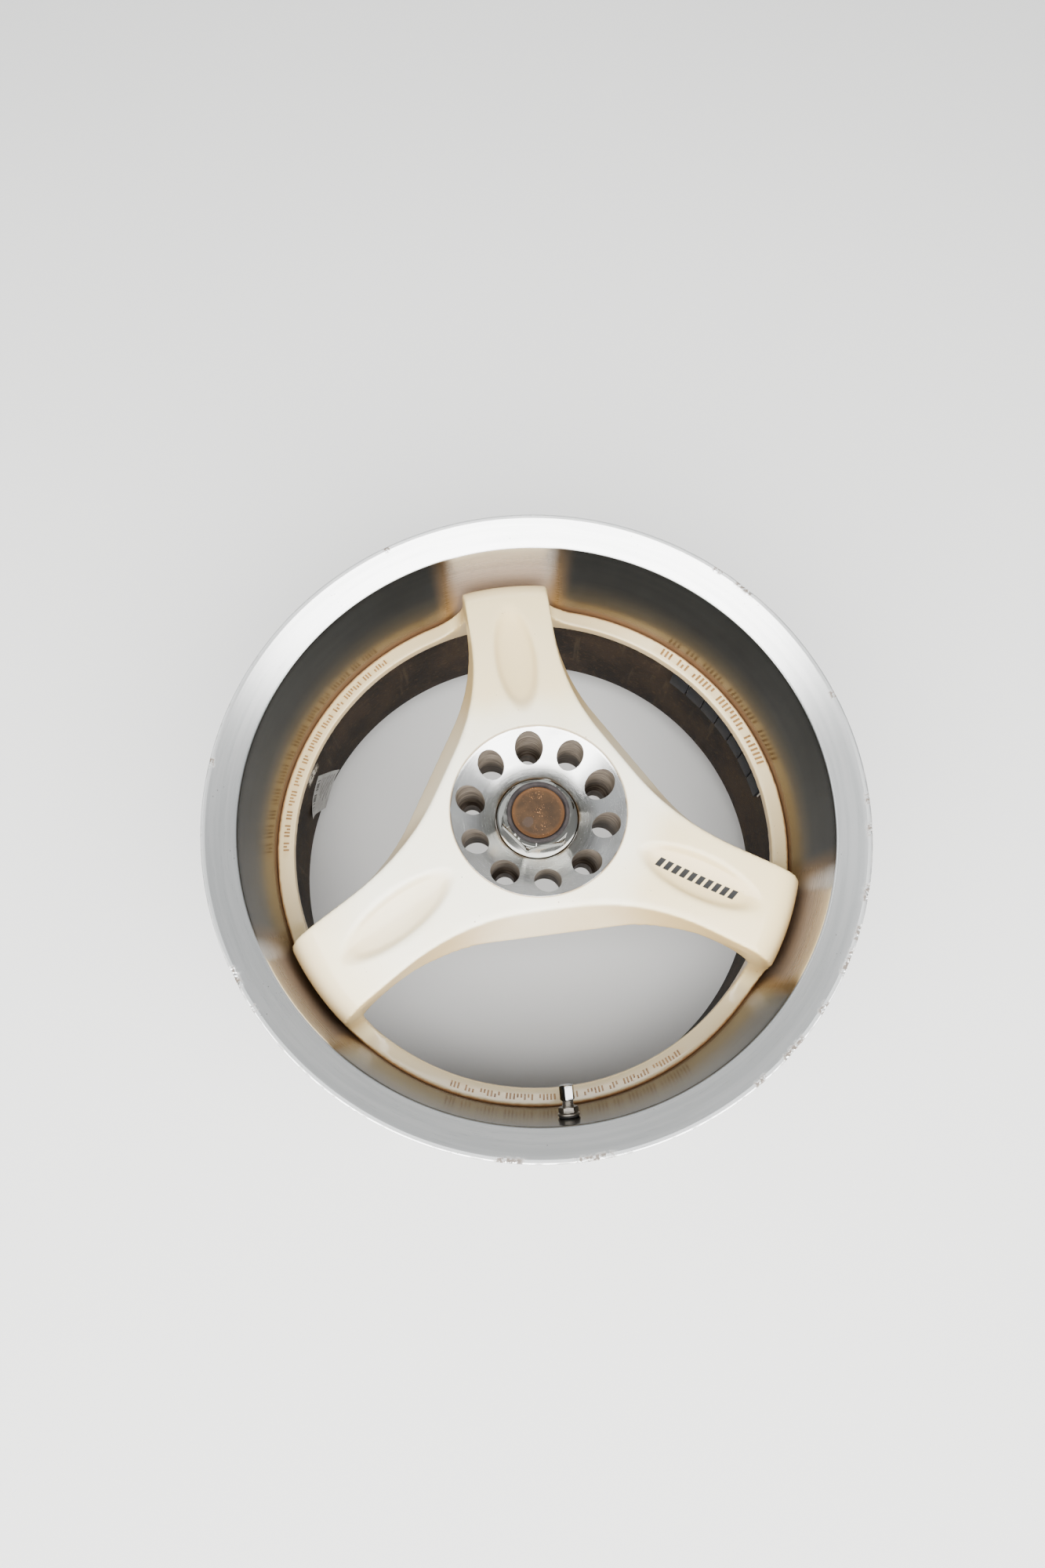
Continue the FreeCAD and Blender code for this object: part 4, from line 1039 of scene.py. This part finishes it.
def valve_parts():
    """Stem, rubber, washer, nut and dust cap of the clamp-in valve."""
    stem = [(2.2, 19.4, 0.1), (3.3, 19.4, 0.1)] + threaded(3.8, 3.35, 12.3, 18.7, 0.79)
    stem += [(3.8, 12.2, 0.1), (3.35, 11.4, 0.2)] + threaded(3.85, 3.5, 7.2, 10.9, 0.7)
    stem += [(3.9, 7.2, 0.1), (3.9, -6.2, 0.2), (8, -6.2, 0.3), (8, -8.0, 0.3), (7, -8.8, 0.3),
             (1.5, -8.8, 0.1), (1.5, 5, 0.1), (2.2, 6, 0.1)]
    rubber = [(4.0, 0.15, 0.1), (6.8, 0.15, 0.4), (7.0, 0.8, 0.4), (6.7, 1.4, 0.3), (4.0, 1.4, 0.1)]
    washer = [(4.1, 1.42, 0.1), (7.7, 1.42, 0.3), (7.7, 2.88, 0.5), (4.1, 2.88, 0.1)]
    for name, outline, steps, turns, material, sharp, slot_name, node in (
            ("valve_stem_threaded", stem, 2, 48, "valve", 34, "valve_metal", "valve_stem"),
            ("valve_grommet_ring", rubber, 4, 64, "rubber", 40, "seal_rubber", "valve_grommet"),
            ("valve_washer_disc", washer, 4, 64, "valve", 34, "valve_metal", "valve_washer")):
        settle(turned(name, outline, steps, turns, material, sharp, ON_VALVE), "wheel", slot_name, node)

    nut = [(4.0, 2.9, 0.1), (5.6, 2.9, 0.1), (6.9, 3.5, 0.2), (6.9, 6.4, 0.2), (6.0, 7.0, 0.2),
           (4.4, 7.0, 0.1), (4.0, 6.6, 0.1)]
    piece = turned("valve_hexagon_nut", nut, 2, 72, "valve", 28, ON_VALVE)
    hexagonal(piece, 12.0, 2.0, 8.0, 27, 0.12, ON_VALVE)
    settle(smooth(piece, 28), "wheel", "valve_metal", "valve_nut")

    low, top, corner = 11.4, 21.4, 9.0 / math.sqrt(3)
    cap = [(0, top, 0), (corner - 1.3, top, 0.4), (corner, top - 0.9, 0.3), (corner, low + 0.5, 0.1),
           (corner - 0.6, low, 0.2), (3.9, low, 0.1), (3.9, top - 1.2, 0.1), (0, top - 1.2, 0)]
    piece = turned("valve_dust_cap", cap, 3, 72, "valve_chrome", 28, ON_VALVE)
    hexagonal(piece, 9.0, low - 1, top + 1, 43, 0.16, ON_VALVE)
    settle(smooth(piece, 28), "valve_cap", "valve_chrome", "valve_cap")


# ---- weights and label
def wall_block(name, inner, outer, low, high, start, end, steps, bevel, material):
    """A curved block that lies against the barrel's wall, its edges rounded."""
    points, faces = [], []
    for i in range(steps + 1):
        a = math.radians(start + (end - start) * i / steps)
        c, s = math.cos(a), math.sin(a)
        corners = ((inner, low), (outer, low), (outer, high), (inner, high))
        points += [(radius * c, radius * s, height) for radius, height in corners]
    for i in range(steps):
        b, n = 4 * i, 4 * i + 4
        for k in range(4):
            m = (k + 1) % 4
            faces.append((b + k, b + m, n + m, n + k))
    faces.append((3, 2, 1, 0))
    last = 4 * steps
    faces.append((last, last + 1, last + 2, last + 3))
    piece = add_object(name, facing_out(mesh_of(name, points, faces)), material)
    bevelled(piece, bevel, 3, 40)
    return smooth(piece, 35)


def joined(name, parts):
    """Several pieces as one object."""
    flow = bmesh.new()
    for part in parts:
        flow.from_mesh(part.data)
    mesh = bpy.data.meshes.new(name)
    flow.to_mesh(mesh)
    flow.free()
    piece = add_object(name, mesh, parts[0].data.materials[0])
    drop(*parts)
    return piece


def weights():
    """Seven stick-on weights on their strip of foam tape."""
    outer, first, pitch, count = WELL - 0.95, 6.0, 5.41, 7
    blocks = []
    for k in range(count):
        start = first + pitch * k
        blocks.append(wall_block(f"weight_{k + 1}", outer - 3.5, outer, -56.5, -38.5, start, start + 5.15, 6,
                                 0.9, M["weights"]))
    settle(smooth(joined("stick_on_weights", blocks), 35), "wheel", "weight_coating", "balance_weights")
    start = first - 0.2
    end = start + pitch * (count - 1) + 5.55
    tape = wall_block("weight_tape", outer, WELL - 0.05, -56.7, -36.9, start, end, 40, 0.2, M["tape"])
    settle(tape, "wheel", "foam_tape", "balance_weight_tape")


def label():
    """A paper label on the barrel's wall with one corner lifting."""
    half_u, half_v, columns, rows, thick = 19.5, 24.5, 26, 32, 0.22
    tilt = math.radians(LABEL_TILT)
    points, faces = [], []
    for layer in range(2):
        for j in range(rows + 1):
            for i in range(columns + 1):
                u, v = -half_u + 2 * half_u * i / columns, -half_v + 2 * half_v * j / rows
                arc = u * math.cos(tilt) - v * math.sin(tilt)
                rise = u * math.sin(tilt) + v * math.cos(tilt)
                lift = max(0.0, (u / half_u * 0.55 + v / half_v * 0.62) - 0.62) ** 1.6 * 9.0
                lift += max(0.0, (-u / half_u * 0.6 - v / half_v * 0.6) - 0.86) ** 1.5 * 6.0
                lift += 0.05 * noise.noise(Vector((u, v, 0)) * 0.3) + 0.08
                r = WELL - 0.06 - (thick if layer else 0.0) - lift
                a = math.radians(LABEL_ANGLE) + arc / WELL
                points.append((r * math.cos(a), r * math.sin(a), LABEL_Z + rise))
    count = (columns + 1) * (rows + 1)
    for j in range(rows):
        for i in range(columns):
            a = j * (columns + 1) + i
            quad = (a, a + 1, a + columns + 2, a + columns + 1)
            faces.append(quad)
            faces.append(tuple(count + c for c in reversed(quad)))
    edge = [i for i in range(columns)] + [columns + j * (columns + 1) for j in range(rows)]
    edge += [count - 1 - i for i in range(columns)] + [(rows - j) * (columns + 1) for j in range(rows)]
    for k, here in enumerate(edge):
        there = edge[(k + 1) % len(edge)]
        faces.append((there, here, count + here, count + there))
    piece = smooth(add_object("paper_label", mesh_of("paper_label", points, faces), M["label"]), 50)
    facing_out(piece.data)
    return settle(piece, "wheel", "label_paper", "stock_label")


def carried_nodes():
    """CAD nodes whose shape is right keep it and get their materials."""
    wanted = {
        "weld": ("weld_bead",), "brass": ("valve_core_body", "valve_core_pin"),
        "rubber": ("valve_inner_seal", "valve_cap_seal", "centre_cap_oring"),
        "spring": ("valve_core_spring", "centre_cap_spring_ring"),
    }
    for key, names in wanted.items():
        for name in names:
            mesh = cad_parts[name].data
            mesh.materials.clear()
            mesh.materials.append(M[key])


# ---- camera, light and floor
def camera():
    """A camera above the wheel, looking down and a little forwards."""
    data = bpy.data.cameras.new("camera")
    data.sensor_fit = "VERTICAL"
    data.sensor_height = 36
    data.sensor_width = 36
    data.lens = 21.6
    data.clip_start, data.clip_end = 0.01, 50
    right = Vector((0.99072, -0.13349, 0.02545))
    up = Vector((0.11982, 0.94642, 0.29988))
    forward = Vector((0.06411, 0.29405, -0.95364))
    turn = Matrix((right, up, -forward)).transposed().to_4x4()
    view = bpy.data.objects.new("camera", data)
    view.matrix_world = Matrix.Translation(Vector((-0.05241, -0.17900, 0.70785))) @ turn
    bpy.context.scene.collection.objects.link(view)
    bpy.context.scene.camera = view


def area_light(name, place, target, size, power, tint=(1, 1, 1)):
    data = bpy.data.lights.new(name, "AREA")
    data.shape = "RECTANGLE"
    data.size, data.size_y = size
    data.energy = power
    data.color = tint
    lamp = bpy.data.objects.new(name, data)
    lamp.location = place
    lamp.rotation_mode = "QUATERNION"
    lamp.rotation_quaternion = (Vector(target) - Vector(place)).to_track_quat("-Z", "Y")
    bpy.context.scene.collection.objects.link(lamp)
    return lamp


def studio():
    """Soft daylight-like studio: bright overhead and behind the viewer, greyer ahead."""
    world = bpy.data.worlds.new("studio")
    bpy.context.scene.world = world
    world.use_nodes = True
    tree = world.node_tree
    tree.nodes.clear()
    out = tree.nodes.new("ShaderNodeOutputWorld")
    back = tree.nodes.new("ShaderNodeBackground")
    where = tree.nodes.new("ShaderNodeTexCoord")
    split = tree.nodes.new("ShaderNodeSeparateXYZ")
    ramp = tree.nodes.new("ShaderNodeValToRGB")
    tree.links.new(where.outputs["Generated"], split.inputs[0])
    tree.links.new(split.outputs[2], ramp.inputs[0])
    tree.links.new(ramp.outputs[0], back.inputs[0])
    tree.links.new(back.outputs[0], out.inputs[0])
    stops = ramp.color_ramp.elements
    stops[0].color, stops[1].color = (0.42, 0.42, 0.42, 1), (0.9, 0.9, 0.9, 1)
    stops.new(0.35).color = (0.50, 0.52, 0.54, 1)
    stops.new(0.75).color = (0.62, 0.64, 0.66, 1)
    back.inputs[1].default_value = 1.0
    area_light("overhead", (-0.1, -1.05, 1.65), (0, 0.0, 0), (4.4, 2.1), 300)
    area_light("ahead", (-0.3, 1.2, 2.6), (0, 0, 0), (2.4, 1.0), 14, (0.95, 0.98, 1.0))


def floor():
    """A plain square floor just under the wheel."""
    size, steps = 4000.0, 8
    row = steps + 1
    marks = [-size + 2 * size * i / steps for i in range(row)]
    points = [(x, y, REAR - 0.2) for y in marks for x in marks]
    starts = [j * row + i for j in range(steps) for i in range(steps)]
    faces = [(n, n + 1, n + row + 1, n + row) for n in starts]
    add_object("floor", mesh_of("floor", points, faces), pale_floor())


barrel()
spokes_and_ring()
hub_face()
ring_marks()
cap_nut()
cap_cup()
cap_badge()
valve_parts()
weights()
label()
carried_nodes()
camera()
studio()
floor()
